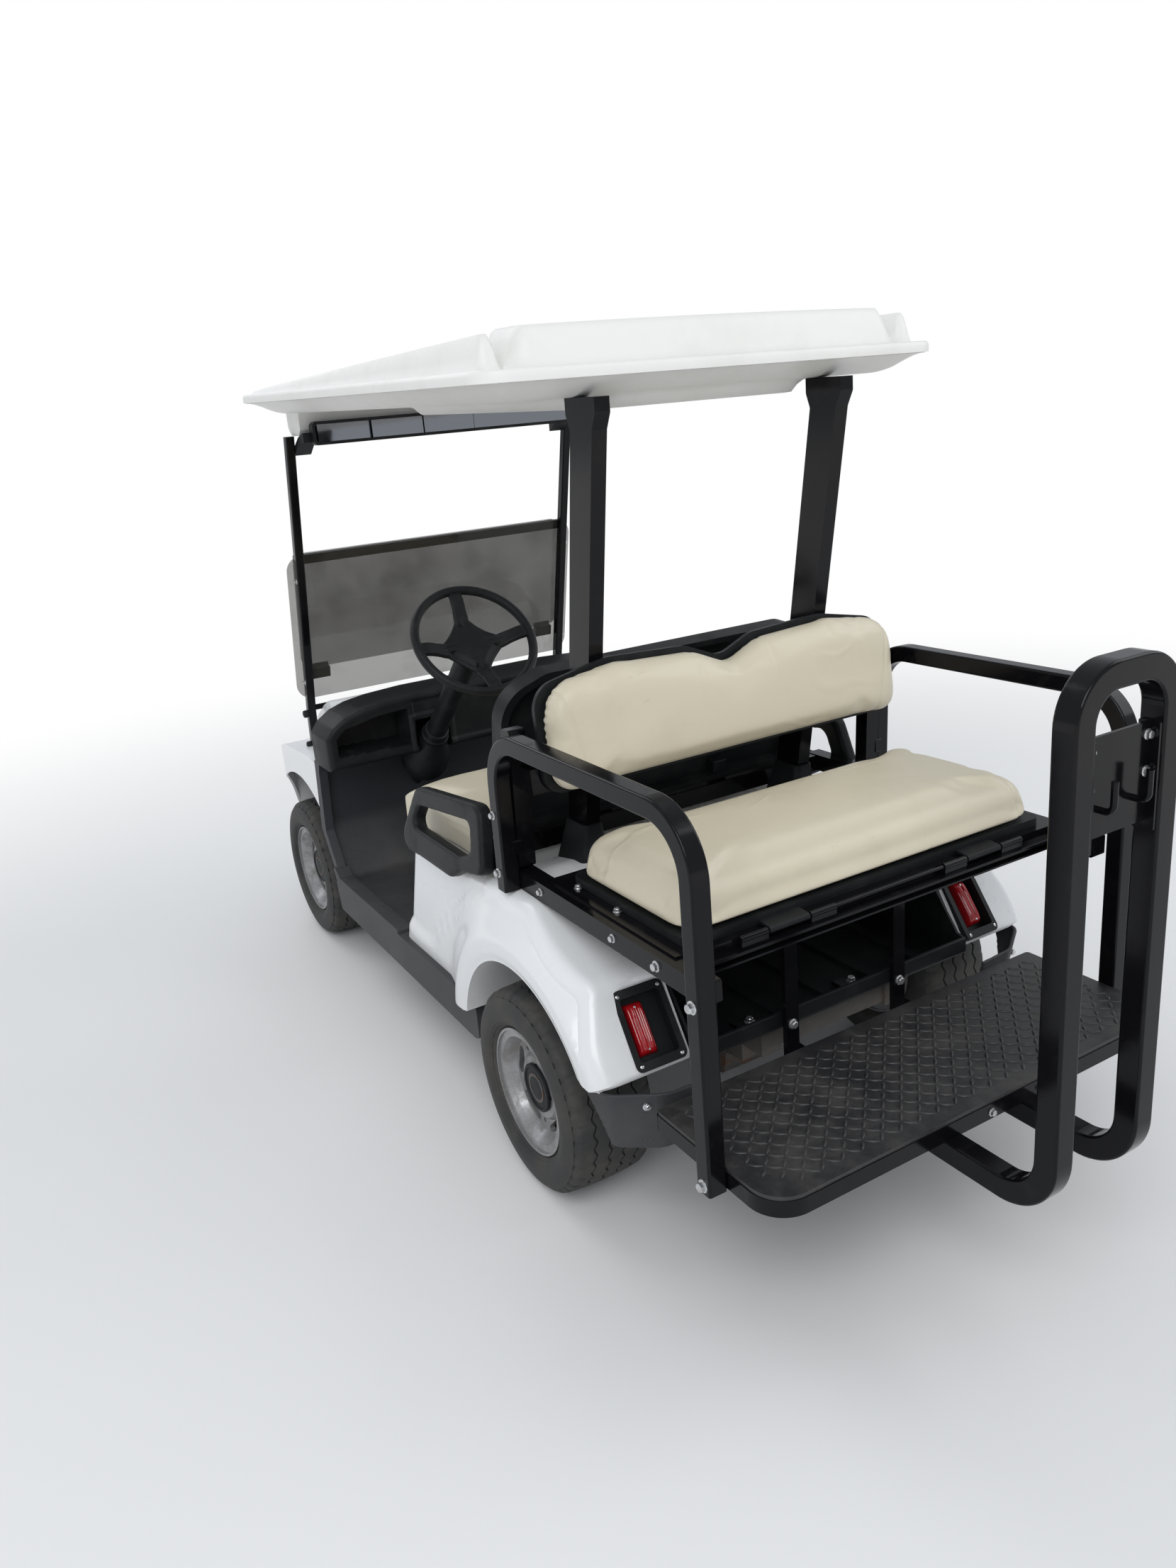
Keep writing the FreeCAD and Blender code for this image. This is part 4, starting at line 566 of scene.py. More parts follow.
def back_seams(point):
    """Seams of the rear backrest: a curved one near each end and one below each side of the dip; the
    cover is gathered round the back edge of both ends."""
    low, high = BACK_BOX
    down = (high.z - point.z) / (high.z - low.z)
    end = pinch(abs(point.x) - 0.438 + 0.062 * max(0.0, down - 0.12) ** 0.8, 0.0026, 0.004)
    dip = pinch(abs(point.x) - 0.092 - 0.01 * down, 0.0012, 0.005) * (1 - ease((down - 0.3) / 0.5))
    lean = point.y - low.y - 0.024 + down * 0.022
    ends = ease((abs(point.x) - 0.425) / 0.03) * (1 - ease(abs(lean - 0.006) / 0.022))
    gathers = 0.0016 * math.sin(point.z * 2 * math.pi / 0.017) * ends
    return end + dip + gathers


def leaned(form, place, lean):
    """A form drawn flat, (across, up, thickness), stood up facing the rear and leaned about its foot."""
    matrix = Matrix.Translation(place) @ Matrix.Rotation(math.radians(lean), 4, "X")
    return moved(([(x, w, z) for x, z, w in form[0]], form[1]), matrix)


def build_cushions():
    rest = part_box("front_seat_bottom")[0].z + REST_DEPTH
    puffed("bench_cushion", "front_seat_bottom", rounding=9, trim=0.005, voxel=0.0105, cap=0.016,
           held=lambda point: point.z < rest)
    puffed("bench_backrest", "front_seat_back", rounding=9, voxel=0.0105)
    low, high = BENCH_BOX
    plan = [(low.x, low.y, 0.072), (high.x, low.y, 0.072), (high.x, high.y, 0.075), (low.x, high.y, 0.075)]
    verts, faces = stuffed_form(plan, high.z - low.z - 0.012, 0.046, 0.010)
    form = [(x, y, z + low.z) for x, y, z in verts], faces
    puffed("rear_cushion", "rear_seat_cushion", form, held=lambda point: point.z < low.z + REST_DEPTH,
           seams=bench_seams, body="flip_seat")
    # The backrest's outline from its left foot over both lobes: across, up, corner radius.
    half = [(0.470, 0.020, 0.060), (0.470, 0.250, 0.105), (0.290, 0.286, 0.120), (0.090, 0.276, 0.060)]
    corners = half + [(0.0, 0.238, 0.050)] + [(-across, up, radius) for across, up, radius in reversed(half)]
    form = leaned(stuffed_form(corners, 0.064, 0.034, 0.008), (0.0, REAR_AXLE + 0.008, 0.850), 5.5)
    puffed("rear_backrest", "rear_seat_back", form, seams=back_seams)


# Wheels

TYRE_LOW, TYRE_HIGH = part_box("tyre_rear_left")
TYRE_RADIUS = (TYRE_HIGH.z - TYRE_LOW.z) / 2
TYRE_HALF = (TYRE_HIGH.x - TYRE_LOW.x) / 2
GROOVES = (-0.051, -0.017, 0.017, 0.051)
GROOVE_WIDTH, GROOVE_DEPTH = 0.0042, 0.006
ZIGZAGS, ZIGZAG_STEPS, ZIGZAG_SWAY = 40, 8, 0.0042
HUB_INSET = 0.034
CORNERS = ("front_left", "front_right", "rear_left", "rear_right")


def crown(across):
    """Radius of the tread at a distance from the tyre's middle."""
    return TYRE_RADIUS - 0.0045 * (across / 0.08) ** 2


def tyre_rows():
    outer = []
    for groove in GROOVES:
        left, right = groove - GROOVE_WIDTH / 2, groove + GROOVE_WIDTH / 2
        outer += [(left - 0.013, crown(left - 0.013), 0), (left - 0.001, crown(left) - 0.0002, 1),
                  (left, crown(left) - 0.001, 1), (left + 0.0006, crown(groove) - GROOVE_DEPTH, 1),
                  (right - 0.0006, crown(groove) - GROOVE_DEPTH, 1), (right, crown(right) - 0.001, 1),
                  (right + 0.001, crown(right) - 0.0002, 1), (right + 0.013, crown(right + 0.013), 0)]
    # Side of the tyre from the shoulder in to the bead: across, radius.
    side = [(0.0785, crown(0.0785)), (0.0835, TYRE_RADIUS - 0.0062), (0.0885, TYRE_RADIUS - 0.011),
            (0.0925, TYRE_RADIUS - 0.018), (0.0950, TYRE_RADIUS - 0.0185), (0.0975, TYRE_RADIUS - 0.026),
            (0.0995, 0.196), (TYRE_HALF - 0.0012, 0.186), (TYRE_HALF, 0.178), (TYRE_HALF - 0.0012, 0.168),
            (0.0985, 0.1600), (0.0975, 0.1592), (0.0945, 0.1535), (0.0925, 0.1530), (0.0885, 0.1470),
            (0.0815, 0.1432), (0.0800, 0.1275)]
    inside = [(0.064, 0.1275), (0.068, 0.142), (0.084, 0.156), (0.0905, 0.178), (0.084, 0.203),
              (0.070, 0.2145)]
    right = [(x, r, 0) for x, r in side]
    left = [(-x, r, 0) for x, r in reversed(side)]
    back = [(x, r, 0) for x, r in inside] + [(-x, r, 0) for x, r in reversed(inside)]
    return left + outer + right + back


def build_tyres():
    verts, faces = turned_rows(tyre_rows(), ZIGZAGS * ZIGZAG_STEPS, ZIGZAG_SWAY, ZIGZAG_STEPS)
    form = [notched(point) for point in verts], faces
    for corner in CORNERS:
        low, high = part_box("tyre_" + corner)
        face = -1 if corner.endswith("right") else 1
        place = Matrix.Translation((low + high) / 2) @ Matrix.Diagonal((face, face, 1, 1))
        new_piece("tread_" + corner, moved(form, place), "tyre", "wheel_" + corner, ("tyre_" + corner,), 35)


def notched(point):
    """Short slits across the tread's shoulders."""
    along, y, z = point
    radius = math.hypot(y, z)
    step = round(math.atan2(y, z) / (2 * math.pi) * ZIGZAGS * ZIGZAG_STEPS) % ZIGZAG_STEPS
    if step in (2, 3) and 0.076 < abs(along) < 0.094 and radius > 0.2:
        deep = 1 - 0.0035 / radius
        return along, y * deep, z * deep
    return point


def build_hub_caps():
    """Plain black centre caps that cover the wheel bolts."""
    # Cap outline from the wheel's face outwards: distance out, radius.
    outline = [(-0.006, 0.050), (0.004, 0.0545), (0.010, 0.0545), (0.0125, 0.052), (0.0125, 0.047),
               (0.0100, 0.0455), (0.0100, 0.030), (0.0112, 0.026), (0.0112, 0.008)]
    rings = [[(out, radius * math.sin(turn), radius * math.cos(turn))
              for turn in (2 * math.pi * index / 64 for index in range(64))] for out, radius in outline]
    form = rings_form(rings)
    for corner in CORNERS:
        low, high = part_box("rim_" + corner)
        face = -1 if corner.endswith("right") else 1
        middle = (low + high) / 2
        middle.x += face * ((high.x - low.x) / 2 - HUB_INSET)
        place = Matrix.Translation(middle) @ Matrix.Diagonal((face, 1, 1, 1))
        new_piece("hub_cap_" + corner, moved(form, place), "black_plastic", "wheel_" + corner, angle=35)


# Tread mat

LOZENGE_LENGTH, LOZENGE_WIDTH, LOZENGE_RISE, LOZENGE_PITCH = 0.030, 0.0085, 0.0022, 0.0225


def lozenge(centre, turn):
    """A raised pointed oval."""
    rings = []
    for level, size in ((-0.0006, 1.0), (LOZENGE_RISE * 0.6, 0.82), (LOZENGE_RISE, 0.5)):
        ring = []
        for index in range(16):
            along = math.cos(2 * math.pi * index / 16)
            side = math.copysign((1 - abs(along) ** 1.6), math.sin(2 * math.pi * index / 16) or 1e-9)
            u, v = along * LOZENGE_LENGTH / 2 * size, side * LOZENGE_WIDTH / 2 * size
            ring.append((centre[0] + u * math.cos(turn) - v * math.sin(turn),
                         centre[1] + u * math.sin(turn) + v * math.cos(turn), centre[2] + level))
        rings.append(ring)
    return rings_form(rings)


def build_mat_tread():
    low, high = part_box("footrest_mat")
    corner = 0.14
    forms = []
    columns = int((high.x - low.x - 0.05) / LOZENGE_PITCH)
    rows = int((high.y - low.y - 0.045) / LOZENGE_PITCH)
    for column in range(columns):
        for row in range(rows):
            x = (low.x + high.x) / 2 + (column - (columns - 1) / 2) * LOZENGE_PITCH
            y = (low.y + high.y) / 2 + (row - (rows - 1) / 2) * LOZENGE_PITCH
            past_x = abs(x) - (high.x - corner)
            past_y = y - (high.y - corner)
            if past_x > 0 and past_y > 0 and math.hypot(past_x, past_y) > corner - 0.024:
                continue
            forms.append(lozenge((x, y, high.z), math.radians(45 if (column + row) % 2 else -45)))
    new_piece("footrest_mat_lozenges", gather(forms), "mat_rubber", angle=50)


# Rear body


def ease(value):
    """0 to 1, slow at both ends."""
    value = min(1.0, max(0.0, value))
    return value * value * (3 - 2 * value)


def between(stops, at):
    """The value at a place in a table of (place, value) stops."""
    for (near, low), (far, high) in zip(stops, stops[1:]):
        if at <= far:
            return low + (high - low) * max(0.0, (at - near) / (far - near))
    return stops[-1][1]


def rounded_outline(corners, steps=8):
    """A closed outline of (along, up, corner radius) corners, as flat points."""
    flat = [Vector(corner[:2]) for corner in corners]
    points = []
    for index, here in enumerate(flat):
        radius = corners[index][2]
        back = (flat[index - 1] - here).normalized()
        ahead = (flat[(index + 1) % len(flat)] - here).normalized()
        half = back.angle(ahead) / 2
        reach = radius / math.tan(half)
        for step in range(steps + 1):
            share = step / steps
            first, second = here.lerp(here + back * reach, 1 - share), here.lerp(here + ahead * reach, share)
            points.append(first.lerp(second, share))
    return points


AXLE_HEIGHT = (TYRE_LOW.z + TYRE_HIGH.z) / 2
BODY_SIDE, FLARE_SIDE = 0.520, 0.585
ARCH, RIDGE = 0.292, 0.340
FLARE_POWER, FADE_SOFT = 1.7, 0.12
LIP_ROLL, LIP_WIDTH = 0.005, 0.022
CREASE_STEP, CREASE_WIDTH, CREASE_START = 0.011, 0.022, 0.008
EDGE_ROUND = 0.036
# Where the side's points stand on their way from the arch to the top edge.
SIDE_SHARES = (0, 0.012, 0.03, 0.06, 0.1, 0.15, 0.2, 0.26, 0.32, 0.38, 0.44, 0.5, 0.56, 0.62, 0.69, 0.76,
               0.84, 0.92, 1)
# How far round the wheel the body's strips reach, in degrees from straight back, and their number.
FIRST_STRIP, LAST_STRIP, STRIPS = 26.4, 174.6, 150
SHELL_WALL = 0.005
WELL_SIDE = 0.372
# Body outline seen from the side: along (behind the rear axle), up, corner radius.
BODY_OUTLINE = [(-0.791, 0.300, 0.004), (-0.661, 0.6255, 0.03), (-0.330, 0.624, 0.12), (-0.140, 0.6598, 0.12),
                (0.0, 0.6598, 0.12), (0.238, 0.562, 0.07), (0.336, 0.402, 0.016), (0.322, 0.384, 0.004),
                (0.240, 0.384, 0.004), (0.240, 0.300, 0.004)]
# Where the flare has faded out: angle from straight back, distance from the axle.
FLARE_END = [(25, 0.372), (45, 0.386), (64, 0.412), (96, 0.428), (119, 0.476), (157, 0.500), (180, 0.500)]
# The crease in the side panel: along (behind the rear axle), up.
CREASE = [(-0.86, 0.372), (-0.66, 0.345), (-0.60, 0.352), (-0.33, 0.560), (-0.20, 0.615), (-0.05, 0.640)]
# The left tail lamp's frame: outer top, inner top and outer bottom corners, and the way that it faces.
LAMP_POINTS = [Vector((0.489, REAR_AXLE + 0.239, 0.535)), Vector((0.380, REAR_AXLE + 0.250, 0.540)),
               Vector((0.493, REAR_AXLE + 0.332, 0.402))]
LAMP_FACING = (LAMP_POINTS[2] - LAMP_POINTS[0]).cross(LAMP_POINTS[1] - LAMP_POINTS[0]).normalized()
# The lamp's opening in the skin, from its frame's outer top corner: across and down.
LAMP_OPENING = ((0.010, 0.100), (0.012, 0.150))


def side_reach(along, up, angle, distance):
    """How far out the body's side stands at a point."""
    fade = (distance - RIDGE) / (between(FLARE_END, angle) - RIDGE)
    fade = max(0.0, min(1.0, fade))
    fade = min(1.0, fade * fade / (fade + FADE_SOFT) * (1 + FADE_SOFT))
    bulge = (FLARE_SIDE - BODY_SIDE) * (1 - fade) ** FLARE_POWER
    rolled = LIP_ROLL * (1 - ease((distance - ARCH) / LIP_WIDTH))
    below = (between(CREASE, along) - up + CREASE_START) / CREASE_WIDTH
    return BODY_SIDE + bulge - rolled + CREASE_STEP * ease(below) * fade


def ray_outline(outline, angle):
    """Where a ray from the axle leaves the outline, and the outline's inward normal there."""
    heading = Vector((math.cos(angle), math.sin(angle)))
    for here, there in zip(outline, outline[1:] + outline[:1]):
        run = there - here
        cross = heading.x * run.y - heading.y * run.x
        if abs(cross) < 1e-9:
            continue
        gap = here - Vector((0, AXLE_HEIGHT))
        distance = (gap.x * run.y - gap.y * run.x) / cross
        share = (gap.x * heading.y - gap.y * heading.x) / cross
        if distance > 0.25 and -1e-6 <= share <= 1 + 1e-6:
            return distance, Vector((run.y, -run.x)).normalized()
    raise ValueError(f"no outline at {math.degrees(angle):.1f} degrees")


def body_column(outline, angle):
    """One strip of the left half's points, from inside the wheel house over the side to the top."""
    heading = Vector((math.cos(angle), math.sin(angle)))
    reach, normal = ray_outline(outline, angle)
    degrees = math.degrees(angle)
    floor = 0.384 if angle < math.pi / 2 else 0.300
    start = max(ARCH, (floor - AXLE_HEIGHT) / max(1e-3, math.sin(angle)))
    centre = Vector((0, AXLE_HEIGHT))
    edge_in = EDGE_ROUND / max(0.35, abs(normal.dot(heading)))
    last = max(start + 0.004, reach - edge_in)
    face = side_reach(*(centre + heading * start), degrees, start)
    on_arch = start <= ARCH + 1e-6
    points = [(inward if on_arch else face - 0.012, start) for inward in (0.380, 0.42, 0.46, 0.50, 0.54)]
    for share in SIDE_SHARES:
        away = start + (last - start) * share
        points.append((side_reach(*(centre + heading * away), degrees, away), away))
    rim = centre + heading * last
    top = centre + heading * reach
    out = points[-1][0]
    verts = [Vector((x, REAR_AXLE + heading.x * away, AXLE_HEIGHT + heading.y * away)) for x, away in points]
    for step in range(1, 7):
        turn = math.pi / 2 * step / 6
        spot = rim.lerp(top, math.sin(turn))
        verts.append(Vector((out - EDGE_ROUND * (1 - math.cos(turn)), REAR_AXLE + spot.x, spot.y)))
    for x in (0.46, 0.44, 0.42, 0.395, WELL_SIDE):
        verts.append(Vector((min(x, verts[-1].x), REAR_AXLE + top.x, top.y)))
    for x in (0.30, 0.15, 0.0):
        verts.append(Vector((x, REAR_AXLE + top.x, top.y)))
    return verts


def build_rear_shell():
    """The moulded rear body: flared sides with a crease, a rounded top edge and the wheel houses."""
    outline = rounded_outline(BODY_OUTLINE)
    turns = (FIRST_STRIP + (LAST_STRIP - FIRST_STRIP) * index / STRIPS for index in range(STRIPS + 1))
    columns = [body_column(outline, math.radians(turn)) for turn in turns]
    rows = len(columns[0])
    verts = [under_lamp(point) for column in columns for point in column]
    faces = []
    for column in range(len(columns) - 1):
        for row in range(rows - 1):
            first = column * rows + row
            corners = (first, first + rows, first + rows + 1, first + 1)
            middle = sum((verts[index] for index in corners), Vector()) / 4
            if row >= rows - 4 and middle.y > REAR_AXLE - 0.06:
                continue
            faces.append(corners)
    shaper = bmesh.new()
    made = [shaper.verts.new(point) for point in verts]
    for face in faces:
        shaper.faces.new([made[index] for index in face])
    bmesh.ops.remove_doubles(shaper, verts=shaper.verts, dist=0.0004)
    open_lamp(shaper)
    twin = bmesh.ops.duplicate(shaper, geom=shaper.verts[:] + shaper.faces[:])
    for item in twin["geom"]:
        if isinstance(item, bmesh.types.BMVert):
            item.co.x = -item.co.x
    bmesh.ops.remove_doubles(shaper, verts=shaper.verts, dist=0.0004)
    bmesh.ops.delete(shaper, geom=[vert for vert in shaper.verts if not vert.link_faces], context="VERTS")
    bmesh.ops.recalc_face_normals(shaper, faces=shaper.faces)
    mesh = bpy.data.meshes.new("rear_shell")
    shaper.to_mesh(mesh)
    shaper.free()
    piece = bpy.data.objects.new("rear_shell_walls", mesh)
    bpy.context.scene.collection.objects.link(piece)
    outward_up(mesh)
    wall = piece.modifiers.new("wall", "SOLIDIFY")
    wall.thickness = SHELL_WALL
    wall.offset = -1
    thick = baked(piece)
    bpy.data.objects.remove(piece)
    return add_object("rear_shell", thick, "white_shell", stands_for=("rear_body",), angle=38)


def outward_up(mesh):
    """Turn an open shell's faces so that its top faces up."""
    highest = max(mesh.polygons, key=lambda face: face.center.z)
    if highest.normal.z < 0:
        mesh.flip_normals()


def lamp_point(across, down, lift):
    """A point by its share across and down the left lamp's frame, and its height above it."""
    corner, inner, foot = LAMP_POINTS
    return corner + (inner - corner) * across + (foot - corner) * down + LAMP_FACING * lift


def on_lamp(point):
    """A point's distances across and down the left lamp's frame, and its height above it."""
    corner, inner, foot = LAMP_POINTS
    gap = Vector((abs(point[0]), point[1], point[2])) - corner
    across, down = (inner - corner).normalized(), (foot - corner).normalized()
    return gap.dot(across), gap.dot(down), gap.dot(LAMP_FACING)


def under_lamp(point):
    """A point of the body's skin, kept below the lamp's frame and easing up round it."""
    across, down, lift = on_lamp(point)
    corner, inner, foot = LAMP_POINTS
    wide, tall = (inner - corner).length, (foot - corner).length
    outside = max(-across, across - wide, -down, down - tall, 0.0)
    most = 1.1 * max(0.0, outside - 0.004) - 0.001
    return point - LAMP_FACING * (lift - most) if outside < 0.07 and lift > most else point


def open_lamp(shaper):
    """Cut the left lamp's opening out of the body's skin."""
    corner, inner, foot = LAMP_POINTS
    wide, tall = LAMP_OPENING
    for heading, stops in ((inner - corner, wide), (foot - corner, tall)):
        heading = heading.normalized()
        for stop in stops:
            near = [face for face in shaper.faces if abs(on_lamp(face.calc_center_median())[2]) < 0.06
                    and face.calc_center_median().y > REAR_AXLE + 0.15]
            edges = dict.fromkeys(edge for face in near for edge in face.edges)
            points = dict.fromkeys(vert for face in near for vert in face.verts)
            bmesh.ops.bisect_plane(shaper, geom=[*near, *edges, *points], dist=1e-5,
                                   plane_co=corner + heading * stop, plane_no=heading)
    hole = []
    for face in shaper.faces:
        along, below, lift = on_lamp(face.calc_center_median())
        if wide[0] < along < wide[1] and tall[0] < below < tall[1] and abs(lift) < 0.05:
            hole.append(face)
    bmesh.ops.delete(shaper, geom=hole, context="FACES")


# Roof

ROOF_HALF, ROOF_FRONT, ROOF_REAR = 0.552, -1.515, 0.092
ROOF_LOW, ROOF_SLOPE, ROOF_LIP, ROOF_CORNER = 1.670, math.tan(math.radians(1.35)), 0.024, 0.070
ROOF_EDGE, GUTTER_DROP, BAND_RISE, DOME_RISE = 0.009, 0.003, 0.074, 0.006
WEDGE_RISE, WEDGE_CLIMB, WEDGE_END = 0.010, 0.054, -0.158
# Lining: how deep its rim and its belly hang.
LINING_DROP, BELLY_DROP = 0.034, 0.026


def inside_by(x, y, half, front, rear, corner):
    """How far inside a rounded rectangle a point is."""
    reach_x = abs(x) - (half - corner)
    reach_y = abs(y - (front + rear) / 2) - ((rear - front) / 2 - corner)
    outside = math.hypot(max(reach_x, 0.0), max(reach_y, 0.0)) + min(max(reach_x, reach_y), 0.0)
    return corner - outside


def roof_height(x, y):
    """The roof's top surface above its lower edge: lip, gutter, front wedge and rear band."""
    edge = inside_by(x, y, ROOF_HALF, ROOF_FRONT, ROOF_REAR, ROOF_CORNER)
    height = ROOF_LIP
    if edge < ROOF_EDGE:
        height += math.sqrt(max(0.0, ROOF_EDGE ** 2 - (ROOF_EDGE - edge) ** 2)) - ROOF_EDGE
    height -= GUTTER_DROP * ease((edge - 0.010) / 0.010)
    wedge = inside_by(x, y, ROOF_HALF - 0.022, ROOF_FRONT + 0.024, WEDGE_END, 0.075)
    ridge = inside_by(abs(x) - 0.502, y, 0.029, ROOF_FRONT + 0.024, 0.038, 0.024)
    climb = WEDGE_RISE + WEDGE_CLIMB * max(0.0, min(1.0, 1 - y / ROOF_FRONT)) ** 0.9
    band = inside_by(x, y, 0.476, -0.140, ROOF_REAR - 0.026, 0.060)
    rise = max(climb * ease(wedge / 0.036), climb * ease(ridge / 0.024), BAND_RISE * ease(band / 0.046))
    dome = DOME_RISE * (1 - (x / ROOF_HALF) ** 2)
    return height + rise + dome * ease(edge / 0.1)


def liner_depth(x, y):
    """The roof lining's underside below the lip's lower edge."""
    edge = inside_by(x, y, ROOF_HALF - 0.006, ROOF_FRONT + 0.006, ROOF_REAR - 0.006, ROOF_CORNER)
    belly = inside_by(x, y, 0.270, ROOF_FRONT + 0.55, ROOF_REAR - 0.10, 0.05)
    return -LINING_DROP * ease(edge / 0.105) - BELLY_DROP * ease(belly / 0.026)


# Where a roof sheet's points stand near its edges.
EDGE_STEPS = (0.0, 0.003, 0.006, 0.010, 0.015, 0.020, 0.026, 0.032, 0.038, 0.044, 0.050, 0.056, 0.062, 0.068,
              0.074, 0.080, 0.087, 0.095, 0.104, 0.114, 0.126, 0.140)


def spaced(low, high, count):
    """Places from low to high, close together at both ends."""
    first, last = low + EDGE_STEPS[-1], high - EDGE_STEPS[-1]
    middle = [first + (last - first) * index / count for index in range(1, count)]
    return [low + step for step in EDGE_STEPS] + middle + [high - step for step in reversed(EDGE_STEPS)]


def rounded_plan(x, y, half, front, rear, corner):
    """A point of a plain rectangle moved so that the rectangle's corners are round."""
    middle, long = (front + rear) / 2, (rear - front) / 2
    u = (abs(x) - (half - corner)) / corner
    v = (abs(y - middle) - (long - corner)) / corner
    if u <= 0 or v <= 0:
        return x, y
    across = half - corner + corner * u * math.sqrt(1 - v * v / 2)
    along = long - corner + corner * v * math.sqrt(1 - u * u / 2)
    return math.copysign(across, x), middle + math.copysign(along, y - middle)


def roof_sheet(height, inset=0.0):
    """A sheet over the roof's plan, at a height that depends on the place."""
    half, front, rear = ROOF_HALF - inset, ROOF_FRONT + inset, ROOF_REAR - inset
    xs, ys = spaced(-half, half, 44), spaced(front, rear, 70)
    verts = []
    for y in ys:
        for x in xs:
            across, along = rounded_plan(x, y, half, front, rear, ROOF_CORNER)
            lift = ROOF_LOW + height(across, along) - along * ROOF_SLOPE
            verts.append(Vector((across, along + REAR_AXLE, lift)))
    return verts, *grid_faces(len(xs), len(ys))


def closed_sheets(upper, lower, skirt):
    """Two sheets over the same plan joined round their borders by skirt rows."""
    (high_verts, high_faces, border), (low_verts, low_faces, _) = upper, lower
    verts = list(high_verts) + list(low_verts)
    shift = len(high_verts)
    faces = list(high_faces) + [tuple(index + shift for index in face[::-1]) for face in low_faces]
    ring = list(border)
    for lift in skirt:
        start = len(verts)
        for index in border:
            point = high_verts[index].copy()
            point.z = ROOF_LOW + lift - (point.y - REAR_AXLE) * ROOF_SLOPE
            verts.append(point)
        faces += ring_band(ring, list(range(start, start + len(border))))
        ring = list(range(start, start + len(border)))
    faces += ring_band(ring, [index + shift for index in border])
    return verts, faces


def build_roof():
    wall = 0.004
    top = roof_sheet(roof_height)
    under = roof_sheet(lambda x, y: max(0.0, roof_height(x, y) - wall), wall)
    new_piece("roof_cap", closed_sheets(top, under, (0.006, 0.0015)), "roof_plastic",
              stands_for=("roof_top",), angle=50)
    high = roof_sheet(lambda x, y: 0.010, 0.0055)
    low = roof_sheet(liner_depth, 0.0055)
    new_piece("roof_lining", closed_sheets(high, low, (0.004,)), "roof_plastic", stands_for=("roof_liner",),
              angle=50)
    beam = [(0.0, 0.0), (0.0, 0.070), (0.016, 0.086), (0.084, 0.086), (0.100, 0.070), (0.108, 0.0)]
    rings = []
    for x in (-0.44, -0.436, -0.40, 0.40, 0.436, 0.44):
        shrink = 0.006 if abs(x) > 0.437 else 0.0
        ring = []
        for along, drop in beam:
            y = -1.446 + along + (shrink if along < 0.05 else -shrink)
            ring.append((x, REAR_AXLE + y, ROOF_LOW - 0.010 - max(0.0, drop - shrink) - y * ROOF_SLOPE))
        rings.append(ring)
    new_piece("roof_front_beam", rings_form(rings), "roof_plastic", angle=30)


# Dash

DASH_LOW, DASH_FACE, DASH_BACK = 0.668, REAR_AXLE - 1.196, REAR_AXLE - 1.346
DASH_HALF, DASH_EDGE, DASH_PANEL = 0.544, 0.014, 0.006
# The dash's top seen from behind: distance from the middle, height.
DASH_TOP = [(0.0, 0.852), (0.25, 0.852), (0.36, 0.846), (0.43, 0.836), (0.48, 0.820), (0.52, 0.794),
            (DASH_HALF, 0.762)]
# Pockets in the dash: corners in order, and depth. The last one lets the steering column through.
DASH_POCKETS = [
    ([(0.514, 0.706), (0.514, 0.762), (0.486, 0.786), (0.380, 0.806), (0.286, 0.810), (0.286, 0.702)], 0.098),
    ([(-0.020, 0.716), (-0.020, 0.800), (-0.190, 0.800), (-0.190, 0.716)], 0.098),
    ([(-0.230, 0.702), (-0.230, 0.806), (-0.380, 0.802), (-0.486, 0.784), (-0.514, 0.762), (-0.514, 0.706)],
     0.098),
    ([(0.264, 0.600), (0.264, 0.770), (0.160, 0.770), (0.160, 0.600)], 0.140)]
POCKET_SLOPE, POCKET_RIM = 0.010, 0.005


def inside_corners(x, z, corners):
    """How far inside a convex outline a point is."""
    nearest = 1.0
    runs = list(zip(corners, corners[1:] + corners[:1]))
    turn = 1 if sum(a[0] * b[1] - b[0] * a[1] for a, b in runs) > 0 else -1
    for (ax, az), (bx, bz) in runs:
        length = math.hypot(bx - ax, bz - az)
        nearest = min(nearest, turn * ((bx - ax) * (z - az) - (bz - az) * (x - ax)) / length)
    return nearest


def dash_depth(x, z):
    """How far ahead of its face the dash stands at a point."""
    rim = min(DASH_HALF - abs(x), z - DASH_LOW, between(DASH_TOP, abs(x)) - z)
    depth = 0.0
    if rim < DASH_EDGE:
        depth = DASH_EDGE - math.sqrt(max(0.0, DASH_EDGE ** 2 - (DASH_EDGE - max(0.0, rim)) ** 2))
    depth += DASH_PANEL * ease((rim - 0.018) / 0.008)
    for corners, deep in DASH_POCKETS:
        inside = inside_corners(x, z, corners)
        raised = ease((inside + 0.020) / 0.006) * (1 - ease(inside / 0.003))
        depth = max(depth, deep * ease(inside / POCKET_SLOPE)) - POCKET_RIM * raised
    return depth


def build_dash():
    """The moulded dash with its open pockets."""
    columns, rows = 220, 48
    face_sheet, back_sheet = [], []
    for row in range(rows + 1):
        for column in range(columns + 1):
            x = -DASH_HALF + 2 * DASH_HALF * column / columns
            z = DASH_LOW + (between(DASH_TOP, abs(x)) - DASH_LOW) * row / rows
            face_sheet.append((x, DASH_FACE - dash_depth(x, z), z))
            back_sheet.append((x, DASH_BACK, z))
    faces, border = grid_faces(columns + 1, rows + 1)
    shift = len(face_sheet)
    faces += [tuple(index + shift for index in face[::-1]) for face in faces]
    faces += ring_band(border, [index + shift for index in border])
    new_piece("dash_moulding", (face_sheet + back_sheet, faces), "black_plastic", stands_for=("dash",))


# Steering

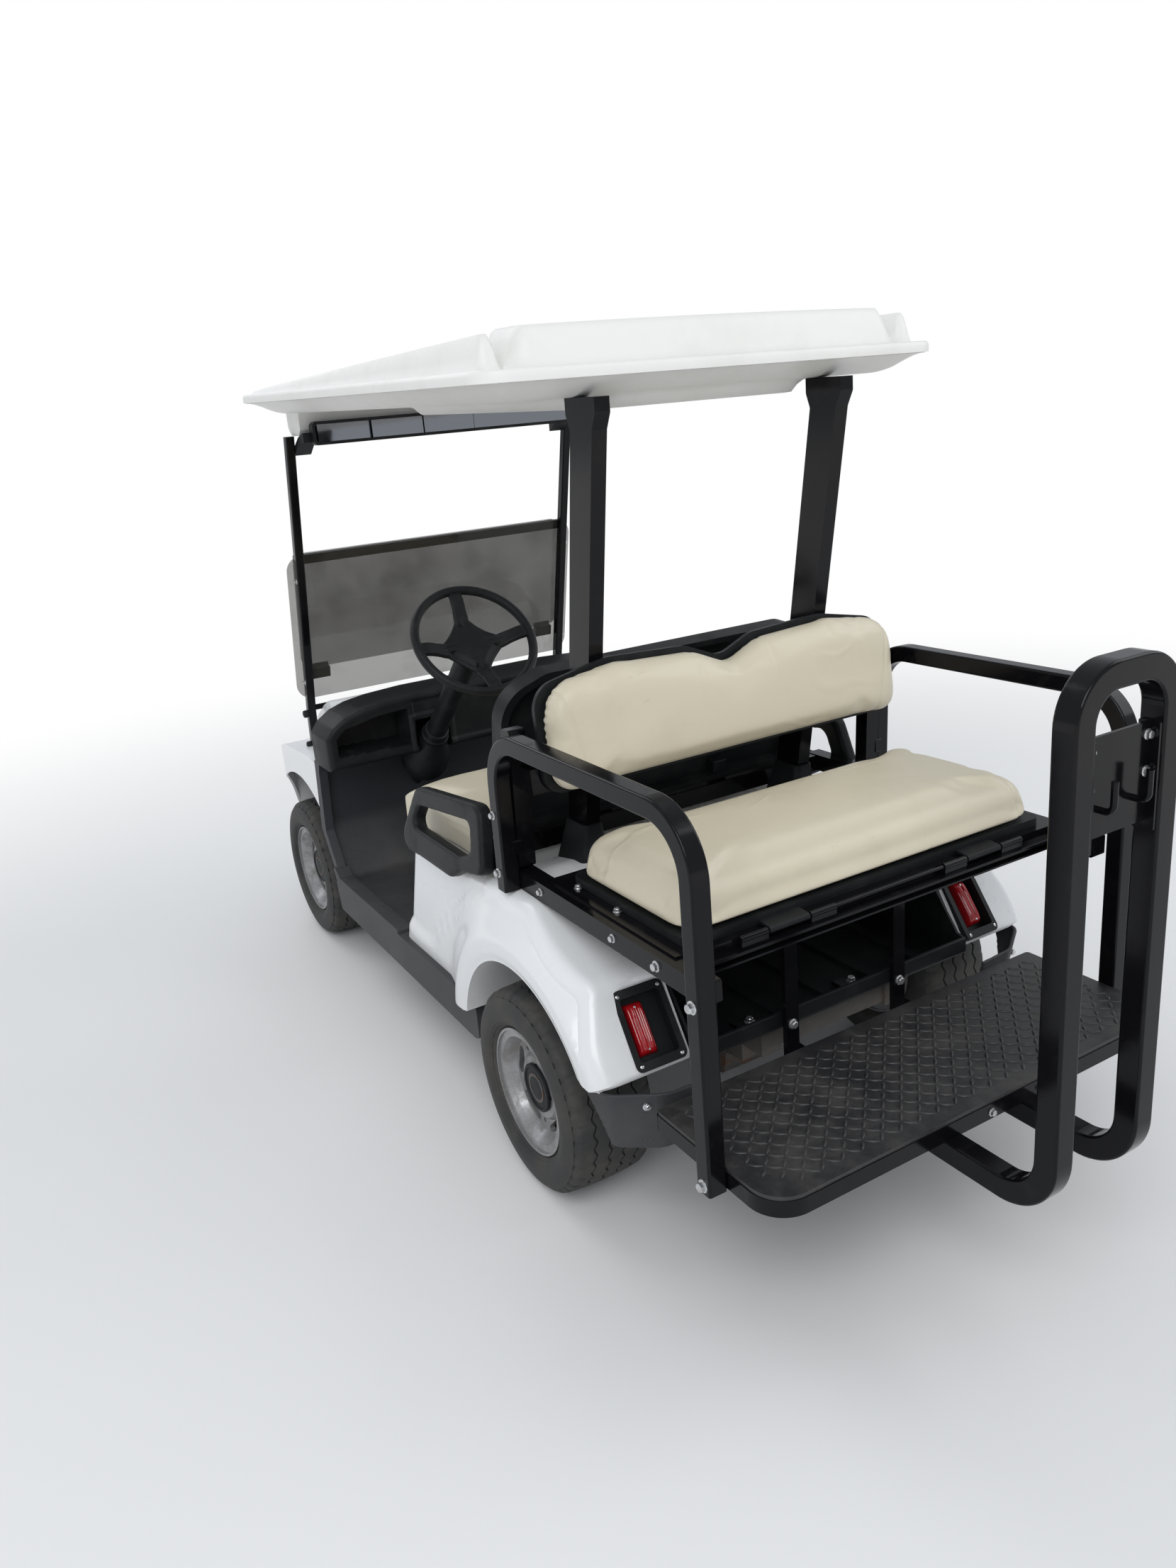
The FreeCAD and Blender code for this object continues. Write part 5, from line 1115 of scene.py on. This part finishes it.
WHEEL_MIDDLE, WHEEL_RAKE = (0.212, REAR_AXLE - 0.820, 1.052), math.radians(-48)
WHEEL_PLACE = Matrix.Translation(WHEEL_MIDDLE) @ Matrix.Rotation(WHEEL_RAKE, 4, "X")
GRIP_RADIUS, GRIP_THICK, GRIP_DEEP = 0.1625, 0.0122, 0.0135
HUB_REACH, SPOKE_HALF, SPOKE_END = 0.092, 0.0185, 0.160
# Neck under the hub, and the boot on the column: radius, distance along the column.
NECK = ((0.020, -0.092), (0.025, -0.088), (0.0255, -0.060), (0.034, -0.046), (0.040, -0.038))
BOOT = ((0.060, -0.668), (0.072, -0.664), (0.074, -0.655), (0.0745, -0.630), (0.071, -0.600), (0.063, -0.570),
        (0.052, -0.545), (0.043, -0.525), (0.0395, -0.512), (0.0415, -0.508), (0.0415, -0.496),
        (0.038, -0.492), (0.036, -0.470), (0.030, -0.468))


def wheel_reach(turn):
    """The hub and its four spokes seen along the column: how far out they go."""
    quarter = math.pi / 2
    off = abs((turn + quarter / 2) % quarter - quarter / 2)
    hub = HUB_REACH / (math.cos(off) + math.sin(off))
    reach = max(hub, min(SPOKE_END, SPOKE_HALF / max(1e-6, math.sin(off))))
    return reach + 0.010 * math.exp(-((reach - 0.085) / 0.02) ** 2)


def dished(radius):
    return -0.036 * (1 - ease((radius - 0.055) / 0.095))


def wheel_plate():
    """The hub and spokes: an upper and a lower skin that meet at their rim."""
    shares = (0.2, 0.35, 0.45, 0.52, 0.6, 0.7, 0.8, 0.88, 0.94, 0.98, 1.0)
    steps = 288
    top, under = [], []
    for share in shares:
        upper, lower = [], []
        half = 0.0095 * math.sqrt(max(0.0, 1 - share ** 10))
        for step in range(steps):
            turn = 2 * math.pi * step / steps
            radius = wheel_reach(turn) * share
            x, y = radius * math.cos(turn), radius * math.sin(turn)
            pad = 0.007 * ease((0.078 - abs(x) - abs(y)) / 0.006)
            upper.append((x, y, dished(radius) + half + pad))
            lower.append((x, y, dished(radius) - half - 0.004 * (1 - share)))
        top.append(upper)
        under.append(lower)
    return rings_form(top + under[::-1])


def build_steering():
    """A padded rim on four spokes that dish down to a moulded hub, and the boot round the column's foot."""
    around, section = 120, 18
    verts = []
    for step in range(around):
        turn = 2 * math.pi * step / around
        for index in range(section):
            roll = 2 * math.pi * index / section
            radius = GRIP_RADIUS + GRIP_THICK * math.cos(roll)
            verts.append((radius * math.cos(turn), radius * math.sin(turn), GRIP_DEEP * math.sin(roll)))
    wheel = gather([(verts, looped_faces(around, section)), wheel_plate(), revolved(NECK, 40)])
    new_piece("wheel_moulding", moved(wheel, WHEEL_PLACE), "black_plastic", "steering_wheel",
              ("steering_wheel",), 50)
    new_piece("column_bell", moved(revolved(BOOT, 56), WHEEL_PLACE), "black_plastic", angle=35)


# Tail lamps: shares across and down are of the lamp's frame.

LENS_LEFT, LENS_WIDE, LENS_TOP, LENS_TALL = 0.195, 0.375, 0.175, 0.650
LENS_FOOT, LENS_EDGE, LENS_CROWN, LENS_RIB, LENS_RIBS = -0.028, -0.024, 0.021, 0.0006, 9


def lens_point(across, down, lift):
    return lamp_point(LENS_LEFT + LENS_WIDE * across, LENS_TOP + LENS_TALL * down, lift)


def lamp_lens():
    """A curved, ribbed lens with a flat rim."""
    columns, rows = 40, 30
    verts = []
    for row in range(rows + 1):
        for column in range(columns + 1):
            a, b = column / columns, row / rows
            rim = min(a, 1 - a, b * 1.6, (1 - b) * 1.6)
            arch = math.sqrt(max(0.0, 1 - (2 * a - 1) ** 4)) * math.sqrt(max(0.0, 1 - (2 * b - 1) ** 6))
            ribs = LENS_RIB * math.cos(a * 2 * math.pi * LENS_RIBS) * ease((rim - 0.06) / 0.05)
            middle_bar = 0.0012 if 0.44 < a < 0.50 else 0.0
            verts.append(lens_point(a, b, LENS_EDGE + LENS_CROWN * arch + ribs + middle_bar))
    faces, border = grid_faces(columns + 1, rows + 1)
    shift = len(verts)
    for index in border:
        row, column = divmod(index, columns + 1)
        verts.append(lens_point(column / columns, row / rows, LENS_FOOT))
    foot = list(range(shift, shift + len(border)))
    return verts, faces + ring_band(border, foot) + [tuple(foot)]


def mirrored(form):
    return [Vector((-point[0], point[1], point[2])) for point in form[0]], form[1]


def both_sides(forms):
    return gather([*forms, *map(mirrored, forms)])


def build_tail_lamps():
    new_piece("lamp_lens_faces", both_sides([lamp_lens()]), "red_lens", stands_for=("tail_lamp_lenses",),
              angle=45)
    facing = (lamp_point(0, 0, 1) - lamp_point(0, 0, 0)).normalized()
    screws = [pan_screw(lamp_point(across, down, 0.0062), facing, 0.0042) for down in (0.07, 0.93)
              for across in (0.10, 0.90)]
    screws += [pan_screw(lamp_point(0.385, down, -0.006), facing, 0.0028) for down in (0.24, 0.76)]
    new_piece("lamp_screws", both_sides(screws), "zinc", angle=35)


# Fasteners

# Heads: radius and height as shares of their size, and then their flats, if any.
SCREW_HEAD = ((1.0, -0.2), (1.0, 0.12), (0.86, 0.38), (0.62, 0.5), (0.42, 0.52), (0.30, 0.20), (0.15, 0.16))
BOLT_HEAD = ((1.55, 0.0, None), (1.5, 0.22, None), (1.12, 0.35, None), (1.0, 0.36, 6), (1.0, 1.15, 6),
             (0.86, 1.35, None))
KNOB = ((0.009, -0.002), (0.0115, 0.0), (0.0125, 0.006), (0.0115, 0.013), (0.008, 0.015), (0.004, 0.0155))
LEFT, BACK, UP = Vector((1, 0, 0)), Vector((0, 1, 0)), Vector((0, 0, 1))
# Bolts on the left and in the middle: node, the way that their heads face, whether they have twins on the
# right, and for each the start of the look towards the node (across, behind the rear axle, up) and its size.
BOLTS = [
    ("rear_arms", LEFT, True, [(0.7, -0.090, 0.830, 0.0062), (0.7, -0.094, 0.700, 0.0068),
                               (0.7, 0.606, 0.684, 0.0080), (0.7, 0.606, 0.342, 0.0080)]),
    ("rear_seat_rails", LEFT, True, [(0.7, 0.018, 0.682, 0.0058), (0.7, 0.445, 0.682, 0.0070),
                                     (0.7, 0.300, 0.682, 0.0058)]),
    ("rear_deck", UP, True, [(0.462, 0.102, 0.8, 0.0058), (0.462, 0.250, 0.8, 0.0058)]),
    ("footrest_frame", BACK, False, [(0.146, 0.5, 0.405, 0.0072), (-0.146, 0.5, 0.405, 0.0072),
                                     (0.003, 0.9, 0.343, 0.0055), (-0.124, 0.9, 0.343, 0.0055)]),
    ("bag_plate", BACK, True, [(0.066, 1.1, 1.084, 0.0060), (0.066, 1.1, 1.026, 0.0060)]),
    ("front_struts", LEFT, True, [(0.7, -1.508, 1.188, 0.0055), (0.7, -1.592, 0.862, 0.0055)]),
    ("rear_bumper", BACK, True, [(0.5, 0.6, 0.355, 0.0058)]),
]
WELL_PLATES, WELL_PLATE_BACK, WELL_FLOOR = (0.205, -0.070), REAR_AXLE + 0.306, 0.3985
STRUT_KNOBS = ((-1.6165, 0.756), (-1.631, 0.650))


def seated(form, place, facing):
    """A form made round the Z axis, moved to a place with that axis facing a given way."""
    spin = Vector(facing).to_track_quat("Z", "Y").to_matrix().to_4x4()
    return moved(form, Matrix.Translation(Vector(place)) @ spin)


def pan_screw(place, facing, size):
    """A low round head with a recess."""
    profile = [(radius * size, height * size) for radius, height in SCREW_HEAD]
    return seated(revolved(profile, 24), place, facing)


def hex_bolt(place, facing, size):
    """A flanged hexagon head, sunk half a millimetre: size is half its width across the flats."""
    rings = [circle_ring(radius * size, height * size, 24, flats) for radius, height, flats in BOLT_HEAD]
    return seated(rings_form(rings), Vector(place) - Vector(facing) * 0.0005, facing)


def face_of(node, start, heading):
    """Where a line from a point first meets a node."""
    hit, place, _, _ = frame["nodes"][node].ray_cast(Vector(start), Vector(heading))
    if not hit:
        raise ValueError(f"nothing of {node} ahead of {start}")
    return place


def build_bolts():
    forms = []
    for node, facing, twin, spots in BOLTS:
        for x, y, z, size in spots:
            bolt = hex_bolt(face_of(node, (x, REAR_AXLE + y, z), -facing), facing, size)
            forms += [bolt, mirrored(bolt)] if twin else [bolt]
    plates = []
    for x in WELL_PLATES:
        rings = [[(x + sx * (0.034 - inset), WELL_PLATE_BACK + sy * (0.024 - inset), WELL_FLOOR + up)
                  for sx, sy in ((-1, -1), (1, -1), (1, 1), (-1, 1))]
                 for inset, up in ((0, -0.004), (0, 0.003), (0.001, 0.004))]
        plates.append(rings_form(rings))
        forms.append(hex_bolt((x, WELL_PLATE_BACK, WELL_FLOOR + 0.004), UP, 0.0075))
    new_piece("kit_bolts", gather(forms), "zinc", angle=30)
    new_piece("well_foot_plates", gather(plates), "black_metal", angle=30)
    knobs = [seated(revolved(KNOB, 28), (0.468, REAR_AXLE + y, z), LEFT) for y, z in STRUT_KNOBS]
    new_piece("strut_knobs", both_sides(knobs), "black_plastic", angle=35)


def softened(name, node, finish, voxel, rounding):
    """A moulded piece made from its CAD form with its edges eased."""
    piece = remeshed(name, frame["nodes"][node].data.copy(), voxel, rounding)
    mesh = baked(piece)
    bpy.data.objects.remove(piece)
    return add_object(name, mesh, finish, stands_for=(node,), angle=180)


# Studio

# Place, and pan, tilt and roll in radians, worked out from the photograph.
CAMERA_PLACE, CAMERA_TURN, CAMERA_LENS = (1.472, 2.509, 1.618), (0.5075, -0.3135, -0.0872), 35.52
WHITE = (1.0, 1.0, 1.0, 1.0)
SKY_COLOUR, SKY_STRENGTH = (0.86, 0.90, 0.95, 1.0), 0.62
FLOOR_FADE = (2.0, 5.5)
# Softboxes: place, aim, power.
SOFTBOXES = [((3.5, 4.5, 5.0), (0, 0.3, 0.8), 190), ((-4.5, 2.5, 4.5), (0, 0, 0.8), 90),
             ((1.0, -4.5, 5.0), (0, 0, 1.0), 90)]


def matched_camera():
    """The photograph's own viewpoint."""
    pan, tilt, roll = CAMERA_TURN
    ahead = Vector((-math.sin(pan) * math.cos(tilt), -math.cos(pan) * math.cos(tilt), math.sin(tilt)))
    level = ahead.cross(Vector((0, 0, 1))).normalized()
    upright = level.cross(ahead)
    across = math.cos(roll) * level + math.sin(roll) * upright
    up = -math.sin(roll) * level + math.cos(roll) * upright
    data = bpy.data.cameras.new("camera")
    data.sensor_fit = "HORIZONTAL"
    data.sensor_width = 36.0
    data.lens = CAMERA_LENS
    camera = bpy.data.objects.new("camera", data)
    turn = Matrix((across, up, -ahead)).transposed().to_4x4()
    camera.matrix_world = Matrix.Translation(CAMERA_PLACE) @ turn
    bpy.context.scene.collection.objects.link(camera)
    bpy.context.scene.camera = camera


def build_studio():
    """A white floor that fades into a white surround, soft daylight and three softboxes."""
    shade = Shade("studio_floor", (0.80, 0.80, 0.80), 0.8, Specular_IOR_Level=0.1)
    shade.set("Base Color", shade.mix(shade.noise(2.0), (0.79, 0.79, 0.79), (0.81, 0.81, 0.81)))
    x, y, _ = shade.axes()
    away = (x * x + y * y) ** 0.5
    glow = shade.node("ShaderNodeEmission", None, {"Color": WHITE, "Strength": 1.0})
    lit = Wire(shade, shade.shader.outputs["BSDF"])
    seen = shade.node("ShaderNodeMixShader", None, {0: away.band(*FLOOR_FADE), 1: lit, 2: glow})
    shade.feed(shade.tree.nodes["Material Output"].inputs["Surface"], seen)
    bpy.ops.mesh.primitive_plane_add(size=60)
    floor = bpy.context.object
    floor.name = "studio_floor"
    floor.data.materials.append(shade.material)
    world = bpy.data.worlds.new("studio")
    world.use_nodes = True
    bpy.context.scene.world = world
    sky = Nodes(world.node_tree)
    daylight = sky.node("ShaderNodeBackground", None, {0: SKY_COLOUR, 1: SKY_STRENGTH})
    backdrop = sky.node("ShaderNodeBackground", None, {0: WHITE})
    seen = sky.node("ShaderNodeMixShader", None,
                    {0: sky.node("ShaderNodeLightPath", output="Is Camera Ray"), 1: daylight, 2: backdrop})
    sky.feed(sky.tree.nodes["World Output"].inputs["Surface"], seen)
    for number, (place, aim, power) in enumerate(SOFTBOXES):
        data = bpy.data.lights.new(f"softbox_{number}", "AREA")
        data.size = 4.0
        data.energy = power
        lamp = bpy.data.objects.new(f"softbox_{number}", data)
        lamp.location = place
        lamp.rotation_euler = (Vector(aim) - Vector(place)).to_track_quat("-Z", "Y").to_euler()
        bpy.context.scene.collection.objects.link(lamp)
    bpy.context.scene.view_settings.view_transform = "Standard"


build_rear_shell()
build_roof()
build_cushions()
build_tyres()
build_hub_caps()
build_mat_tread()
build_dash()
build_steering()
build_tail_lamps()
build_bolts()
softened("hip_loops", "hip_restraints", "black_plastic", 0.0045, 5)
softened("bumper_corners", "rear_bumper", "grey_plastic", 0.0036, 3)
matched_camera()
build_studio()
